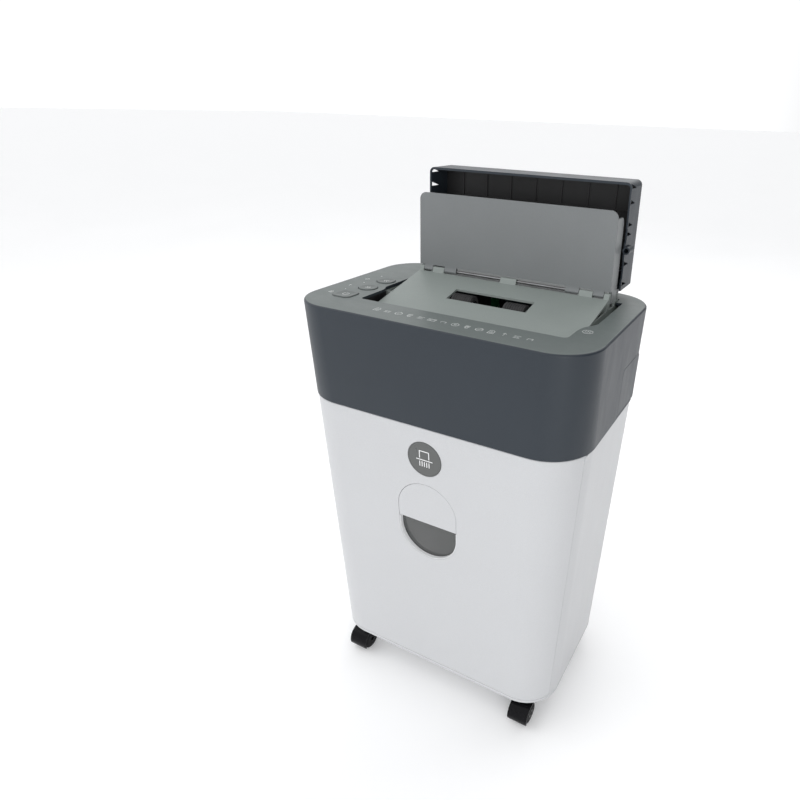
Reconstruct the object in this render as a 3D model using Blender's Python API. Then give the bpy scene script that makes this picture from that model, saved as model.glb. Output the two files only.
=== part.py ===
"""Paper shredder on casters: a head with cutters and a sheet feeder, on a cabinet with a pull-out bin.

World frame in metres: origin on the floor under the body, +X to the right, +Y to the back, +Z up.
"""

import math

import bmesh
import bpy
from mathutils import Matrix, Vector

# Main sizes
RIM = 0.529  # top face of the head above the floor
SEAM = 0.418  # underside of the head
BASE = 0.044  # underside of the body
HEAD_TOP = (0.3450, 0.2306, 0.0460)  # width, depth, corner radius at the rim
HEAD_LOW = (0.3460, 0.2314, 0.0530)
BODY_TOP = (0.3440, 0.2296, 0.0520)
BODY_LOW = (0.3323, 0.2153, 0.0480)
WALL = 0.0030
SKIN = 0.0025
GAP = 0.0003
FRONT_SPLIT = -0.0800  # the pull-out front wraps round the corners to here

# Sheet feeder, in the y-z plane with z from the rim
FEED_LEFT, FEED_RIGHT = -0.1045, 0.1370
CREASE = (0.0485, 0.0125)  # hinge axis of the inner panel
LID_AXIS = (0.0775, 0.0045)
LID_MIDDLE = 0.0160  # the lid and the inner panel narrow evenly towards their tops
LID_LOW, LID_HIGH = 0.0130, 0.1230
LID_FRONT, LID_BACK = 0.0738, 0.1140
LID_ARMS = ((-0.1000, -0.0970), (0.1290, 0.1320))
ROLLER = (0.0022, -0.0105)

# Cutter unit
CUT_Z = 0.467
FRONT_Y, REAR_Y = -0.0660, -0.0340
IDLER_Y, MOTOR_Y = 0.0090, 0.0420
TRANSFER = (0.0043, -0.0261)
GEAR_X = (0.1480, 0.1580)
PLATE_LEFT, PLATE_RIGHT = -0.1125, 0.1345
DISC_R, CORE_R, JOURNAL_R = 0.0175, 0.0090, 0.0050
DISCS, DISC_PITCH, DISC_WIDTH = 14, 0.0170, 0.0080

# Casters
CASTER_X, CASTER_Y, TRAIL = 0.1310, 0.0810, 0.0120
WHEEL_R = 0.0146

for old in list(bpy.data.objects):
    bpy.data.objects.remove(old, do_unlink=True)


def material(name, colour, rough=0.5, metal=0.0):
    found = bpy.data.materials.new(name)
    found.use_nodes = True
    shader = found.node_tree.nodes["Principled BSDF"]
    shader.inputs["Base Color"].default_value = (*colour, 1.0)
    shader.inputs["Roughness"].default_value = rough
    shader.inputs["Metallic"].default_value = metal
    return found


SLATE = material("slate_plastic", (0.060, 0.073, 0.085), 0.45)
DECK_GREY = material("grey_plastic", (0.30, 0.33, 0.33), 0.5)
PANEL_GREY = material("panel_plastic", (0.19, 0.20, 0.21), 0.5)
WHITE = material("white_plastic", (0.72, 0.72, 0.74), 0.4)
BLACK = material("black_plastic", (0.012, 0.012, 0.013), 0.5)
RUBBER = material("rubber", (0.02, 0.02, 0.021), 0.8)
STEEL = material("steel", (0.50, 0.51, 0.53), 0.35, 1.0)
DARK_STEEL = material("hardened_steel", (0.20, 0.21, 0.23), 0.4, 1.0)
GEAR_NYLON = material("gear_nylon", (0.62, 0.60, 0.52), 0.45)
BOARD = material("circuit_board", (0.02, 0.14, 0.06), 0.5)
SMOKE = material("smoked_window", (0.10, 0.10, 0.11), 0.12)
ACCENT = material("badge_grey", (0.16, 0.17, 0.18), 0.35)


def node(name, mesh, stuff, smooth=None):
    """Adds a mesh as one named object; smooth is the angle in degrees under which edges are shaded round."""
    mesh.materials.append(stuff)
    obj = bpy.data.objects.new(name, mesh)
    bpy.context.scene.collection.objects.link(obj)
    if smooth:
        for face in mesh.polygons:
            face.use_smooth = True
        mesh.set_sharp_from_angle(angle=math.radians(smooth))
    return obj


def mesh_of(bm, name):
    bmesh.ops.recalc_face_normals(bm, faces=bm.faces)
    mesh = bpy.data.meshes.new(name)
    bm.to_mesh(mesh)
    bm.free()
    return mesh


def rounded(width, depth, radius, steps=8, middle=(0.0, 0.0)):
    """Corner points of a rounded rectangle, anticlockwise seen from above."""
    points = []
    for quarter, (sx, sy) in enumerate(((1, 1), (-1, 1), (-1, -1), (1, -1))):
        cx = middle[0] + sx * (width / 2 - radius)
        cy = middle[1] + sy * (depth / 2 - radius)
        for i in range(steps + 1):
            angle = math.pi / 2 * (quarter + i / steps)
            points.append((cx + radius * math.cos(angle), cy + radius * math.sin(angle)))
    return points


def loft(rings, closed=False):
    """Joins rings of equal length into one body, capped at both ends, or looped back to the first."""
    bm = bmesh.new()
    rows = [[bm.verts.new(p) for p in ring] for ring in rings]
    count = len(rows[0])
    pairs = list(zip(rows, rows[1:]))
    if closed:
        pairs.append((rows[-1], rows[0]))
    else:
        bm.faces.new(list(reversed(rows[0])))
        bm.faces.new(rows[-1])
    for low, high in pairs:
        for i in range(count):
            j = (i + 1) % count
            bm.faces.new((low[i], low[j], high[j], high[i]))
    return mesh_of(bm, "loft")


def flat(points, z):
    return [(x, y, z) for x, y in points]


def blend(low, high, t):
    return tuple(a + (b - a) * t for a, b in zip(low, high))


def body_ring(z, inset=0.0, steps=8):
    width, depth, radius = blend(BODY_LOW, BODY_TOP, (z - BASE) / (SEAM - BASE))
    return flat(rounded(width - 2 * inset, depth - 2 * inset, radius - inset, steps), z)


def head_ring(z, inset=0.0, steps=8):
    width, depth, radius = blend(HEAD_LOW, HEAD_TOP, (z - SEAM) / (RIM - SEAM))
    return flat(rounded(width - 2 * inset, depth - 2 * inset, radius - inset, steps), z)


def prism(points, start, end, axis):
    """Extrudes a polygon along an axis. Along X the polygon is (y, z), along Y it is (x, z)."""
    if axis == "X":
        rings = [[(at, a, b) for a, b in points] for at in (start, end)]
    elif axis == "Y":
        rings = [[(a, at, b) for a, b in points] for at in (start, end)]
    else:
        rings = [[(a, b, at) for a, b in points] for at in (start, end)]
    return loft(rings)


def box(x0, x1, y0, y1, z0, z1):
    return prism([(x0, y0), (x1, y0), (x1, y1), (x0, y1)], z0, z1, "Z")


def circle(cx, cy, radius, steps=24, start=0.0):
    angles = [start + 2 * math.pi * i / steps for i in range(steps)]
    return [(cx + radius * math.cos(a), cy + radius * math.sin(a)) for a in angles]


def turned(profile, centre, steps=20, axis="X"):
    """Spins (place, radius) pairs round an axis through centre. The ends are capped flat."""
    rings = []
    for place, radius in profile:
        if axis == "X":
            rings.append([(place, a, b) for a, b in circle(centre[0], centre[1], radius, steps)])
        else:
            rings.append([(a, b, place) for a, b in circle(centre[0], centre[1], radius, steps)])
    return loft(rings)


def tube(outer, inner, start, end, centre, steps=24):
    """A gear or wheel blank with a bore, its axis along X."""
    rings = []
    for place, radius in ((start, inner), (start, outer), (end, outer), (end, inner)):
        rings.append([(place, a, b) for a, b in circle(centre[0], centre[1], radius, steps)])
    return loft(rings, closed=True)


def tool(mesh, name="tool"):
    """A hidden shape that only a Boolean uses."""
    obj = bpy.data.objects.new(name, mesh)
    bpy.context.scene.collection.objects.link(obj)
    obj.hide_render = True
    obj.display_type = "WIRE"
    return obj


def combine(obj, meshes, operation):
    for mesh in meshes:
        other = tool(mesh, obj.name + "_tool")
        step = obj.modifiers.new(operation.lower(), "BOOLEAN")
        step.operation = operation
        step.solver = "EXACT"
        step.object = other
    return obj


def cut(obj, *meshes):
    return combine(obj, meshes, "DIFFERENCE")


def join(obj, *meshes):
    return combine(obj, meshes, "UNION")


def centred(obj, point):
    """Puts the origin of a moving piece on its joint axis without moving its surface."""
    obj.data.transform(Matrix.Translation(-Vector(point)))
    obj.location = point
    return obj


def rim(points):
    """(y, z from the rim) pairs as world (y, z) pairs."""
    return [(y, RIM + z) for y, z in points]


def arc(cx, cy, radius, start, end, steps):
    return [
        (
            cx + radius * math.cos(math.radians(start + (end - start) * i / steps)),
            cy + radius * math.sin(math.radians(start + (end - start) * i / steps)),
        )
        for i in range(steps + 1)
    ]


# Head: one moulded shell, open underneath
FILLET = 0.0032
inner_top = RIM - WALL
head = node(
    "head_casing",
    loft(
        [
            head_ring(inner_top, WALL),
            head_ring(SEAM + 0.0001, WALL),
            head_ring(SEAM),
            head_ring(RIM - FILLET),
            head_ring(RIM - FILLET * 0.62, FILLET * 0.08),
            head_ring(RIM - FILLET * 0.29, FILLET * 0.29),
            head_ring(RIM - FILLET * 0.08, FILLET * 0.62),
            head_ring(RIM, FILLET),
        ]
    ),
    SLATE,
    32,
)
opening = (
    arc(-0.1045, -0.0640, 0.0040, 180, 270, 3)
    + arc(0.1275, -0.0620, 0.0060, 270, 360, 4)
    + [(0.1337, -0.0460), (0.1348, -0.0360), (0.1372, -0.0270), (0.1412, -0.0195), (0.1454, -0.0140)]
    + [(0.1454, 0.0730), (0.1378, 0.0730), (0.1378, 0.0880), (0.1270, 0.0880), (0.1270, 0.0720)]
    + [(-0.0950, 0.0720), (-0.0950, 0.0880), (-0.1055, 0.0880), (-0.1055, 0.0730), (-0.1134, 0.0730)]
    + [(-0.1134, -0.0140), (-0.1105, -0.0195), (-0.1085, -0.0270)]
)
BUTTONS = {
    "power_button": (-0.1320, -0.0640),
    "forward_button": (-0.1280, -0.0290),
    "reverse_button": (-0.1280, 0.0060),
}


def button_outline(name, grow):
    x, y = BUTTONS[name]
    if name == "power_button":
        return rounded(0.0240 + 2 * grow, 0.0240 + 2 * grow, 0.0070 + grow, 4, (x, y))
    return circle(x, y, 0.0110 + grow, 24)


SIDE_PANEL = (0.0105, 0.0745, RIM - 0.1080, RIM - 0.0525)
y0, y1, z0, z1 = SIDE_PANEL
join(
    head,
    prism(circle(-0.1530, -0.0450, 0.0030, 10), RIM - 0.0122, RIM - 0.0015, "Z"),
    prism(circle(-0.1530, 0.0150, 0.0030, 10), RIM - 0.0122, RIM - 0.0015, "Z"),
)
cut(
    head,
    prism(opening, RIM - 0.0060, RIM + 0.0050, "Z"),
    *[prism(button_outline(name, 0.0004), RIM - 0.0060, RIM + 0.0050, "Z") for name in BUTTONS],
    box(0.0642, 0.0798, 0.1000, 0.1300, 0.4440, 0.4680),
    box(0.0922, 0.1178, 0.1000, 0.1300, 0.4390, 0.4590),
    box(0.1712, 0.1800, y0 - 0.0004, y1 + 0.0004, z0 - 0.0004, z1 + 0.0004),
    box(-0.1800, -0.1712, y0 - 0.0004, y1 + 0.0004, z0 - 0.0004, z1 + 0.0004),
)
for name, inside, outside in (("side_panel_right", 0.1715, 0.1729), ("side_panel_left", -0.1715, -0.1729)):
    low, high = sorted((inside, outside))
    outline = [(y0, z0), (y1, z0), (y1, z1 - 0.004)] + [(y1 - 0.004, z1), (y0 + 0.006, z1), (y0, z1 - 0.006)]
    node(name, prism(outline, low, high, "X"), SLATE)

chassis = node(
    "chassis_plate",
    loft([flat(rounded(0.3392, 0.2246, 0.0490), z) for z in (0.4210, 0.4240)]),
    BLACK,
)
cut(chassis, box(-0.1080, 0.1335, -0.0850, -0.0150, 0.4140, 0.4290))

# Buttons on springs over the control board
for name in BUTTONS:
    x, y = BUTTONS[name]
    steps = ((0.0015, -0.0075), (0.0015, -0.0055), (0.0, -0.0055), (0.0, 0.0004), (-0.0006, 0.0010))
    rings = [flat(button_outline(name, grow), RIM + z) for grow, z in steps]
    centred(node(name, loft(rings), DECK_GREY, 32), (x, y, RIM))
board = node("control_board", box(-0.1600, -0.1155, -0.0850, 0.0250, RIM - 0.0141, RIM - 0.0125), BOARD)
cut(board, *[prism(circle(-0.1530, y, 0.0014, 8), RIM - 0.02, RIM - 0.01, "Z") for y in (-0.0450, 0.0150)])


# Funnel from the manual slot down to the cutters
def funnel_ring(x0, x1, y0, y1, z_front, z_rear):
    return [(x0, y0, RIM + z_front), (x1, y0, RIM + z_front), (x1, y1, RIM + z_rear), (x0, y1, RIM + z_rear)]


guide = node(
    "slot_guide",
    loft(
        [
            funnel_ring(-0.1088, 0.1335, -0.0695, -0.0436, -0.0036, -0.0110),
            funnel_ring(-0.1070, 0.1317, -0.0677, -0.0454, -0.0036, -0.0110),
            funnel_ring(-0.1070, 0.1317, -0.0530, -0.0470, -0.0420, -0.0420),
            funnel_ring(-0.1088, 0.1335, -0.0548, -0.0452, -0.0420, -0.0420),
        ],
        closed=True,
    ),
    BLACK,
)
cut(guide, box(0.0080, 0.0160, -0.0750, -0.0500, RIM - 0.0370, RIM - 0.0120))

# Sheet feeder: sloped tray, hinged inner panel, rear lid on two arms
SLOPE = math.atan2(0.0190, 0.0880)
tray = node(
    "feed_tray",
    prism(
        rim(
            [(-0.0430, -0.0300), (-0.0405, -0.0300), (-0.0405, -0.0116), (0.0425, 0.0064), (0.0425, -0.0085)]
            + [(0.0950, -0.0085), (0.0950, -0.0060), (0.0450, -0.0060), (0.0450, 0.0095), (-0.0430, -0.0095)]
        ),
        FEED_LEFT,
        FEED_RIGHT,
        "X",
    ),
    DECK_GREY,
)
EARS = ((-0.1045, -0.0990), (-0.0860, -0.0705), (0.0060, 0.0260), (0.1025, 0.1180), (0.1310, 0.1370))
KNUCKLES = ((-0.0985, -0.0865), (-0.0700, -0.0540), (0.0860, 0.1020), (0.1185, 0.1305))
ear = rim([(0.0440, -0.0050), (0.0515, -0.0050)] + arc(*CREASE, 0.0030, 0, 180, 6) + [(0.0440, 0.0090)])
cheek = [(0.0690, -0.0175), (0.0860, -0.0175), (0.0860, -0.0065)] + arc(*LID_AXIS, 0.0045, 0, 180, 8)
cheek = rim(cheek + [(0.0690, -0.0065)])
WELLS = ((-0.1150, -0.1040), (0.1365, 0.1470))
arm_well = rim([(-0.0160, -0.0175), (0.0950, -0.0175), (0.0950, -0.0155), (-0.0160, -0.0155)])
well_side = rim([(-0.0160, -0.0175), (0.0950, -0.0175), (0.0950, -0.0040), (-0.0160, -0.0040)])
well_end = rim([(-0.0160, -0.0175), (-0.0140, -0.0175), (-0.0140, -0.0040), (-0.0160, -0.0040)])
roller_ear = rim([(-0.0060, -0.0020), (-0.0040, -0.0160), (0.0080, -0.0160), (0.0100, 0.0010)])
join(
    tray,
    *[prism(ear, low, high, "X") for low, high in EARS],
    *[prism(cheek, low, high, "X") for low, high in ((-0.1045, -0.1015), (0.1340, 0.1370))],
    *[prism(roller_ear, low, high, "X") for low, high in ((-0.1000, -0.0970), (0.1280, 0.1310))],
    *[prism(arm_well, low, high, "X") for low, high in WELLS],
    *[prism(well_side, low, high, "X") for low, high in ((-0.1150, -0.1137), (0.1457, 0.1470))],
    *[prism(well_end, low, high, "X") for low, high in WELLS],
    *[box(low, high, 0.0930, 0.0950, RIM - 0.0175, RIM - 0.0060) for low, high in WELLS],
    box(FEED_LEFT, FEED_LEFT + 0.0015, -0.0160, 0.0700, RIM - 0.0175, RIM - 0.0030),
    box(FEED_RIGHT - 0.0015, FEED_RIGHT, -0.0160, 0.0700, RIM - 0.0175, RIM - 0.0030),
)
cut(
    tray,
    prism(circle(CREASE[0], RIM + CREASE[1], 0.0018, 12), -0.1200, 0.1500, "X"),
    prism(circle(LID_AXIS[0], RIM + LID_AXIS[1], 0.0023, 12), -0.1200, 0.1500, "X"),
    prism(circle(ROLLER[0], RIM + ROLLER[1], 0.0033, 12), -0.1200, 0.1500, "X"),
    box(-0.0340, 0.0640, -0.0095, 0.0145, RIM - 0.0120, RIM + 0.0100),
)


def narrowed(half_low, half_high, low, high, z):
    """Half width at a height, going evenly from half_low at low to half_high at high."""
    return half_low + (half_high - half_low) * (z - low) / (high - low)


def side_wall(profile, side, half_width, thickness):
    """A (y, z) outline as a wall standing on the sloped side edge of a panel that narrows upwards."""
    rings = []
    for inset in (0.0, thickness):
        rings.append([(LID_MIDDLE + side * (half_width(z) - inset), y, RIM + z) for y, z in profile])
    return loft(rings)


PANEL_LOW, PANEL_HIGH = 0.0168, 0.0985


def panel_half(z):
    return narrowed(0.1213, 0.1190, PANEL_LOW, PANEL_HIGH, z)


def corners(half_width, low, high, radius, steps):
    """Front outline in x-z: straight sides that lean in, and rounded top corners."""
    right = LID_MIDDLE + half_width(high) - radius
    left = LID_MIDDLE - half_width(high) + radius
    return (
        [(LID_MIDDLE - half_width(low), RIM + low), (LID_MIDDLE + half_width(low), RIM + low)]
        + arc(right, RIM + high - radius, radius, 0, 90, steps)
        + arc(left, RIM + high - radius, radius, 90, 180, steps)
    )


panel_shape = corners(panel_half, PANEL_LOW, PANEL_HIGH, 0.0080, 5)
panel = node("inner_panel", prism(panel_shape, 0.0473, 0.0498, "Y"), PANEL_GREY)
knuckle = rim(arc(*CREASE, 0.0030, 180, 360, 8) + [(0.0498, 0.0180), (0.0473, 0.0180)])
wall = [(0.0530, 0.0170), (0.0530, 0.0030), (0.0705, 0.0030)]
wall += [(0.0705, 0.0830), (0.0685, 0.0880), (0.0645, 0.0905), (0.0480, 0.0905), (0.0480, 0.0170)]
join(
    panel,
    *[prism(knuckle, low, high, "X") for low, high in KNUCKLES],
    *[side_wall(wall, side, panel_half, 0.0020) for side in (-1, 1)],
    box(-0.0700, 0.1000, 0.0490, 0.0520, RIM + 0.0500, RIM + 0.0520),
    box(-0.0700, 0.1000, 0.0490, 0.0520, RIM + 0.0800, RIM + 0.0820),
)
cut(panel, prism(circle(CREASE[0], RIM + CREASE[1], 0.0018, 12), -0.1200, 0.1500, "X"))
centred(panel, (0.0, CREASE[0], RIM + CREASE[1]))
node("panel_pin", turned([(-0.1040, 0.0015), (0.1365, 0.0015)], (CREASE[0], RIM + CREASE[1]), 12), STEEL, 30)


def lid_half(z, inset=0.0):
    return narrowed(0.1248, 0.1218, LID_LOW, LID_HIGH, z) - inset


# The lid is an open box: a back plate, four walls and two hinge arms
outside = corners(lid_half, LID_LOW, LID_HIGH, 0.0060, 4)
lid = node("rear_lid", prism(outside, LID_FRONT, LID_BACK, "Y"), SLATE)
inside = corners(lambda z: lid_half(z, 0.0018), LID_LOW + 0.0025, LID_HIGH - 0.0025, 0.0038, 4)
cut(
    lid,
    prism(inside, 0.0600, LID_BACK - 0.0025, "Y"),
    box(LID_MIDDLE - 0.1230, LID_MIDDLE + 0.1230, 0.0600, 0.0800, RIM, RIM + 0.0200),
)
arm = rim(
    arc(*LID_AXIS, 0.0060, 150, 320, 8)
    + [(0.1000, 0.0045), (0.1050, 0.0135), (0.1125, 0.0135), (0.1125, 0.0290), (0.0900, 0.0290)]
    + [(0.0730, 0.0150)]
)
BOSS = (0.1412, RIM + 0.0563)
join(
    lid,
    *[prism(arm, low, high, "X") for low, high in LID_ARMS],
    *[
        box(x - 0.0008, x + 0.0008, 0.1095, 0.1125, RIM + 0.0145, RIM + 0.1210)
        for x in (-0.080, -0.048, -0.016, 0.016, 0.048, 0.080, 0.112)
    ],
    *[box(-0.0950, 0.1270, 0.1095, 0.1125, RIM + z, RIM + z + 0.0016) for z in (0.0300, 0.0600, 0.0900)],
    prism(circle(*BOSS, 0.0039, 20), 0.0722, 0.0900, "Y"),
)
NOTCHES = (0.1170, 0.1020, 0.0800, 0.0705, 0.0395, 0.0180)
SLITS = ((0.0640, 0.0780), (0.0260, 0.0455))
SIDES = ((-0.1130, -0.1000), (0.1320, 0.1450))


def notch(z):
    return rim([(LID_FRONT + 0.0030, z + 0.0035), (LID_FRONT + 0.0030, z), (LID_FRONT + 0.0180, z)])


cut(
    lid,
    prism(circle(LID_AXIS[0], RIM + LID_AXIS[1], 0.0023, 12), -0.1300, 0.1500, "X"),
    prism(circle(*BOSS, 0.0025, 16), 0.0600, 0.0880, "Y"),
    *[prism(notch(z), *side, "X") for z in NOTCHES for side in SIDES],
    *[
        box(*side, LID_FRONT - 0.0100, LID_FRONT + 0.0016, RIM + low, RIM + high)
        for low, high in SLITS
        for side in SIDES
    ],
)
centred(lid, (0.0, LID_AXIS[0], RIM + LID_AXIS[1]))
for name, low, high in (("lid_pin_left", -0.1050, -0.0960), ("lid_pin_right", 0.1280, 0.1375)):
    node(name, turned([(low, 0.0020), (high, 0.0020)], (LID_AXIS[0], RIM + LID_AXIS[1]), 12), STEEL, 30)

roller_z = RIM + ROLLER[1]
roller_profile = [(-0.1030, 0.0030)]
for low, high in ((-0.0300, -0.0050), (0.0350, 0.0600)):
    roller_profile += [(low, 0.0030), (low, 0.0120), (high, 0.0120), (high, 0.0030)]
roller_profile.append((0.1590, 0.0030))
roller = node("feed_roller", turned(roller_profile, (ROLLER[0], roller_z), 20), RUBBER, 30)
centred(roller, (0.0, ROLLER[0], roller_z))


# Cutter unit
def plate(points, low, holes):
    side = "right" if low > 0 else "left"
    obj = node("cutter_plate_" + side, prism(points, low, low + 0.0030, "X"), STEEL)
    cut(obj, *[prism(circle(y, z, radius, 16), low - 0.01, low + 0.013, "X") for y, z, radius in holes])
    return obj


TIES = ((-0.0840, 0.4340), (-0.0140, 0.4340))
shared = [(y, CUT_Z, JOURNAL_R + GAP) for y in (FRONT_Y, REAR_Y)] + [(y, z, 0.0033) for y, z in TIES]
front_end = [(-0.0830, 0.4970), (-0.0880, 0.4920), (-0.0880, 0.4243)]
plate(front_end + [(-0.0100, 0.4243), (-0.0100, 0.4920), (-0.0150, 0.4970)], PLATE_LEFT, shared)
plate(
    front_end
    + [(0.0720, 0.4243), (0.0720, 0.4920), (0.0670, 0.4970), (0.0135, 0.4970), (0.0115, 0.5085)]
    + [(-0.0030, 0.5085), (-0.0050, 0.4970)],
    PLATE_RIGHT,
    shared
    + [(IDLER_Y, CUT_Z, 0.0043), (MOTOR_Y, CUT_Z, 0.0060), (TRANSFER[0], RIM + TRANSFER[1], 0.0028)],
)
for name, (y, z) in zip(("tie_bar_front", "tie_bar_rear"), TIES):
    node(name, turned([(-0.1150, 0.0030), (0.1400, 0.0030)], (y, z), 12), STEEL, 30)


def cutter(name, y, first):
    profile = [(-0.1150, JOURNAL_R), (-0.1085, JOURNAL_R), (-0.1085, CORE_R)]
    for i in range(DISCS):
        middle = first + i * DISC_PITCH
        low, high = middle - DISC_WIDTH / 2, middle + DISC_WIDTH / 2
        profile += [(low, CORE_R), (low, DISC_R), (high, DISC_R), (high, CORE_R)]
    profile += [(0.1338, CORE_R), (0.1338, JOURNAL_R), (0.1595, JOURNAL_R)]
    return centred(node(name, turned(profile, (y, CUT_Z), 12), DARK_STEEL, 30), (0.0, y, CUT_Z))


cutter("cutter_front", FRONT_Y, -0.1000)
cutter("cutter_rear", REAR_Y, -0.0915)


def gear(name, pitch_radius, bore, centre, steps):
    obj = node(name, tube(pitch_radius - 0.00025, bore, *GEAR_X, centre, steps), GEAR_NYLON, 30)
    return centred(obj, (0.0, *centre))


gear("gear_front", 0.0160, JOURNAL_R + GAP, (FRONT_Y, CUT_Z), 32)
gear("gear_rear", 0.0160, JOURNAL_R + GAP, (REAR_Y, CUT_Z), 32)
gear("idler_gear", 0.0270, 0.0043, (IDLER_Y, CUT_Z), 54)
gear("transfer_gear", 0.0092, 0.0028, (TRANSFER[0], RIM + TRANSFER[1]), 24)
gear("roller_gear", 0.0065, 0.0033, (ROLLER[0], roller_z), 20)
node("idler_pin", turned([(0.1335, 0.0040), (0.1595, 0.0040)], (IDLER_Y, CUT_Z), 16), STEEL, 30)
transfer_centre = (TRANSFER[0], RIM + TRANSFER[1])
node("transfer_pin", turned([(0.1335, 0.0025), (0.1595, 0.0025)], transfer_centre, 12), STEEL, 30)
motor_profile = [(0.0400, 0.0160), (0.0400, 0.0215), (0.0430, 0.0250), (0.1290, 0.0250), (0.1340, 0.0235)]
motor = node("motor", turned(motor_profile, (MOTOR_Y, CUT_Z), 28), STEEL, 40)
cut(motor, prism(circle(MOTOR_Y, CUT_Z, 0.0030, 12), 0.1200, 0.1400, "X"))
pinion_profile = [(0.1210, 0.0025), (GEAR_X[0], 0.0025), (GEAR_X[0], 0.00575)]
pinion_profile += [(GEAR_X[1], 0.00575), (GEAR_X[1], 0.0025), (0.1595, 0.0025)]
pinion = node("motor_pinion", turned(pinion_profile, (MOTOR_Y, CUT_Z), 16), DARK_STEEL, 30)
centred(pinion, (0.0, MOTOR_Y, CUT_Z))

# Paper sensor under the front band
SENSOR = (-0.0745, RIM - 0.0160)
bracket = node("sensor_bracket", box(0.0040, 0.0200, -0.0800, -0.0705, RIM - 0.0062, RIM - 0.0034), BLACK)
join(
    bracket,
    *[box(low, low + 0.0020, -0.0785, -0.0705, RIM - 0.0200, RIM - 0.0050) for low in (0.0050, 0.0170)],
)
cut(bracket, prism(circle(SENSOR[0], SENSOR[1], 0.0018, 12), -0.0100, 0.0300, "X"))
hub = [(0.0045, 0.0015), (0.0080, 0.0015), (0.0080, 0.0030)]
hub += [(0.0160, 0.0030), (0.0160, 0.0015), (0.0195, 0.0015)]
lever = node("sensor_lever", turned(hub, SENSOR, 12), BLACK, 30)
finger = rim([(-0.0770, -0.0175), (-0.0560, -0.0270), (-0.0550, -0.0250), (-0.0745, -0.0135)])
join(lever, prism(finger, 0.0105, 0.0135, "X"))
centred(lever, (0.0, *SENSOR))

# Electrics
node("power_board", box(-0.1000, -0.0200, 0.0985, 0.1001, 0.4243, 0.5020), BOARD)
node("interlock_switch", box(-0.1450, -0.1250, -0.0800, -0.0710, 0.4243, 0.4360), BLACK)
housing = node("switch_housing", box(0.0620, 0.0820, 0.1105, 0.1121, 0.4420, 0.4700), BLACK)
join(housing, box(0.0645, 0.0795, 0.0960, 0.1154, 0.4443, 0.4677))
cut(housing, box(0.0660, 0.0780, 0.0985, 0.1300, 0.4458, 0.4662))
ROCKER = (0.1079, 0.4560)
rocker_face = [(0.0055, -0.0072), (0.0062, 0.0), (0.0078, 0.0072)]
rocker_shape = [(ROCKER[0] + y, ROCKER[1] + z) for y, z in arc(0, 0, 0.0060, 120, 240, 5) + rocker_face]
rocker = node("rocker_switch", prism(rocker_shape, 0.0664, 0.0776, "X"), BLACK)
centred(rocker, (0.0, *ROCKER))
inlet = node("mains_inlet", box(0.0890, 0.1210, 0.1105, 0.1121, 0.4360, 0.4620), BLACK)
join(inlet, box(0.0925, 0.1175, 0.0960, 0.1154, 0.4393, 0.4587))
cut(inlet, box(0.0945, 0.1155, 0.0990, 0.1300, 0.4413, 0.4567))
join(inlet, *[box(x - 0.0010, x + 0.0010, 0.0980, 0.1140, 0.4475, 0.4515) for x in (0.0990, 0.1050, 0.1110)])


# Cabinet and base
def body_shell():
    """The cabinet's four walls with their rounded corners, open at the top and the bottom."""
    low, high = 0.0496, 0.4175
    return loft([body_ring(low), body_ring(high), body_ring(high, SKIN), body_ring(low, SKIN)], closed=True)


cabinet = node("cabinet", body_shell(), WHITE, 32)
cut(cabinet, box(-0.2000, 0.2000, -0.2000, FRONT_SPLIT, 0.0300, 0.4340))
join(cabinet, box(-0.1705, 0.1705, FRONT_SPLIT, FRONT_SPLIT + 0.0080, 0.4095, 0.4174))
base = node("base_plate", loft([body_ring(BASE), body_ring(0.0491)]), WHITE, 32)
sockets = [(sx * CASTER_X, sy * CASTER_Y) for sx in (-1, 1) for sy in (-1, 1)]
join(base, *[prism(circle(x, y, 0.0080, 16), 0.0470, 0.0680, "Z") for x, y in sockets])
cut(base, *[prism(circle(x, y, 0.0043, 16), 0.0300, 0.0800, "Z") for x, y in sockets])
for name, low in (("rail_left", -0.1100), ("rail_right", 0.0950)):
    profile = [(low, 0.0494), (low + 0.0150, 0.0494), (low + 0.0150, 0.0520), (low + 0.0100, 0.0520)]
    profile += [(low + 0.0100, 0.0735), (low + 0.0050, 0.0735), (low + 0.0050, 0.0520), (low, 0.0520)]
    node(name, prism(profile, -0.0760, 0.0940, "Y"), BLACK)


# Pull-out bin
def stadium(grow, low=None, high=None, steps=12):
    """The window outline in x-z; with low or high only the part above or below that height."""
    radius = 0.0395 + grow
    points = arc(0, 0.3055, radius, 0, 180, 2 * steps) + arc(0, 0.2775, radius, 180, 360, 2 * steps)
    if low is not None:
        points = [p for p in points if p[1] > low + 1e-6]
        points = [(0.0395 + grow, low)] + points + [(-0.0395 - grow, low)]
    if high is not None:
        points = [p for p in points if p[1] < high - 1e-6]
        points = [(-0.0395 - grow, high)] + points + [(0.0395 + grow, high)]
    return points


CHORD = 0.2895
front = node("bin_front", body_shell(), WHITE, 32)
cut(front, box(-0.2000, 0.2000, FRONT_SPLIT - 0.0005, 0.2000, 0.0300, 0.4340))
join(
    front,
    prism(stadium(0.0020, high=CHORD), -0.1095, -0.0985, "Y"),
    *[box(x - 0.0015, x + 0.0015, -0.1080, -0.0945, 0.0940, 0.3840) for x in (-0.1000, 0.1000)],
    box(-0.1180, 0.1180, -0.1130, -0.0960, 0.4040, 0.4070),
)
cut(
    front,
    prism(stadium(0.0), -0.1300, -0.1040, "Y"),
    prism(stadium(0.0, high=CHORD - 0.0005), -0.1200, -0.0900, "Y"),
    prism(circle(0.0, 0.3790, 0.0219, 32), -0.1300, -0.1123, "Y"),
)
slant = (BODY_TOP[1] - BODY_LOW[1]) / 2 / (SEAM - BASE)


def front_y(z):
    """Outer face of the front at a height."""
    return -(BODY_LOW[1] / 2 + slant * (z - BASE))


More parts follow.
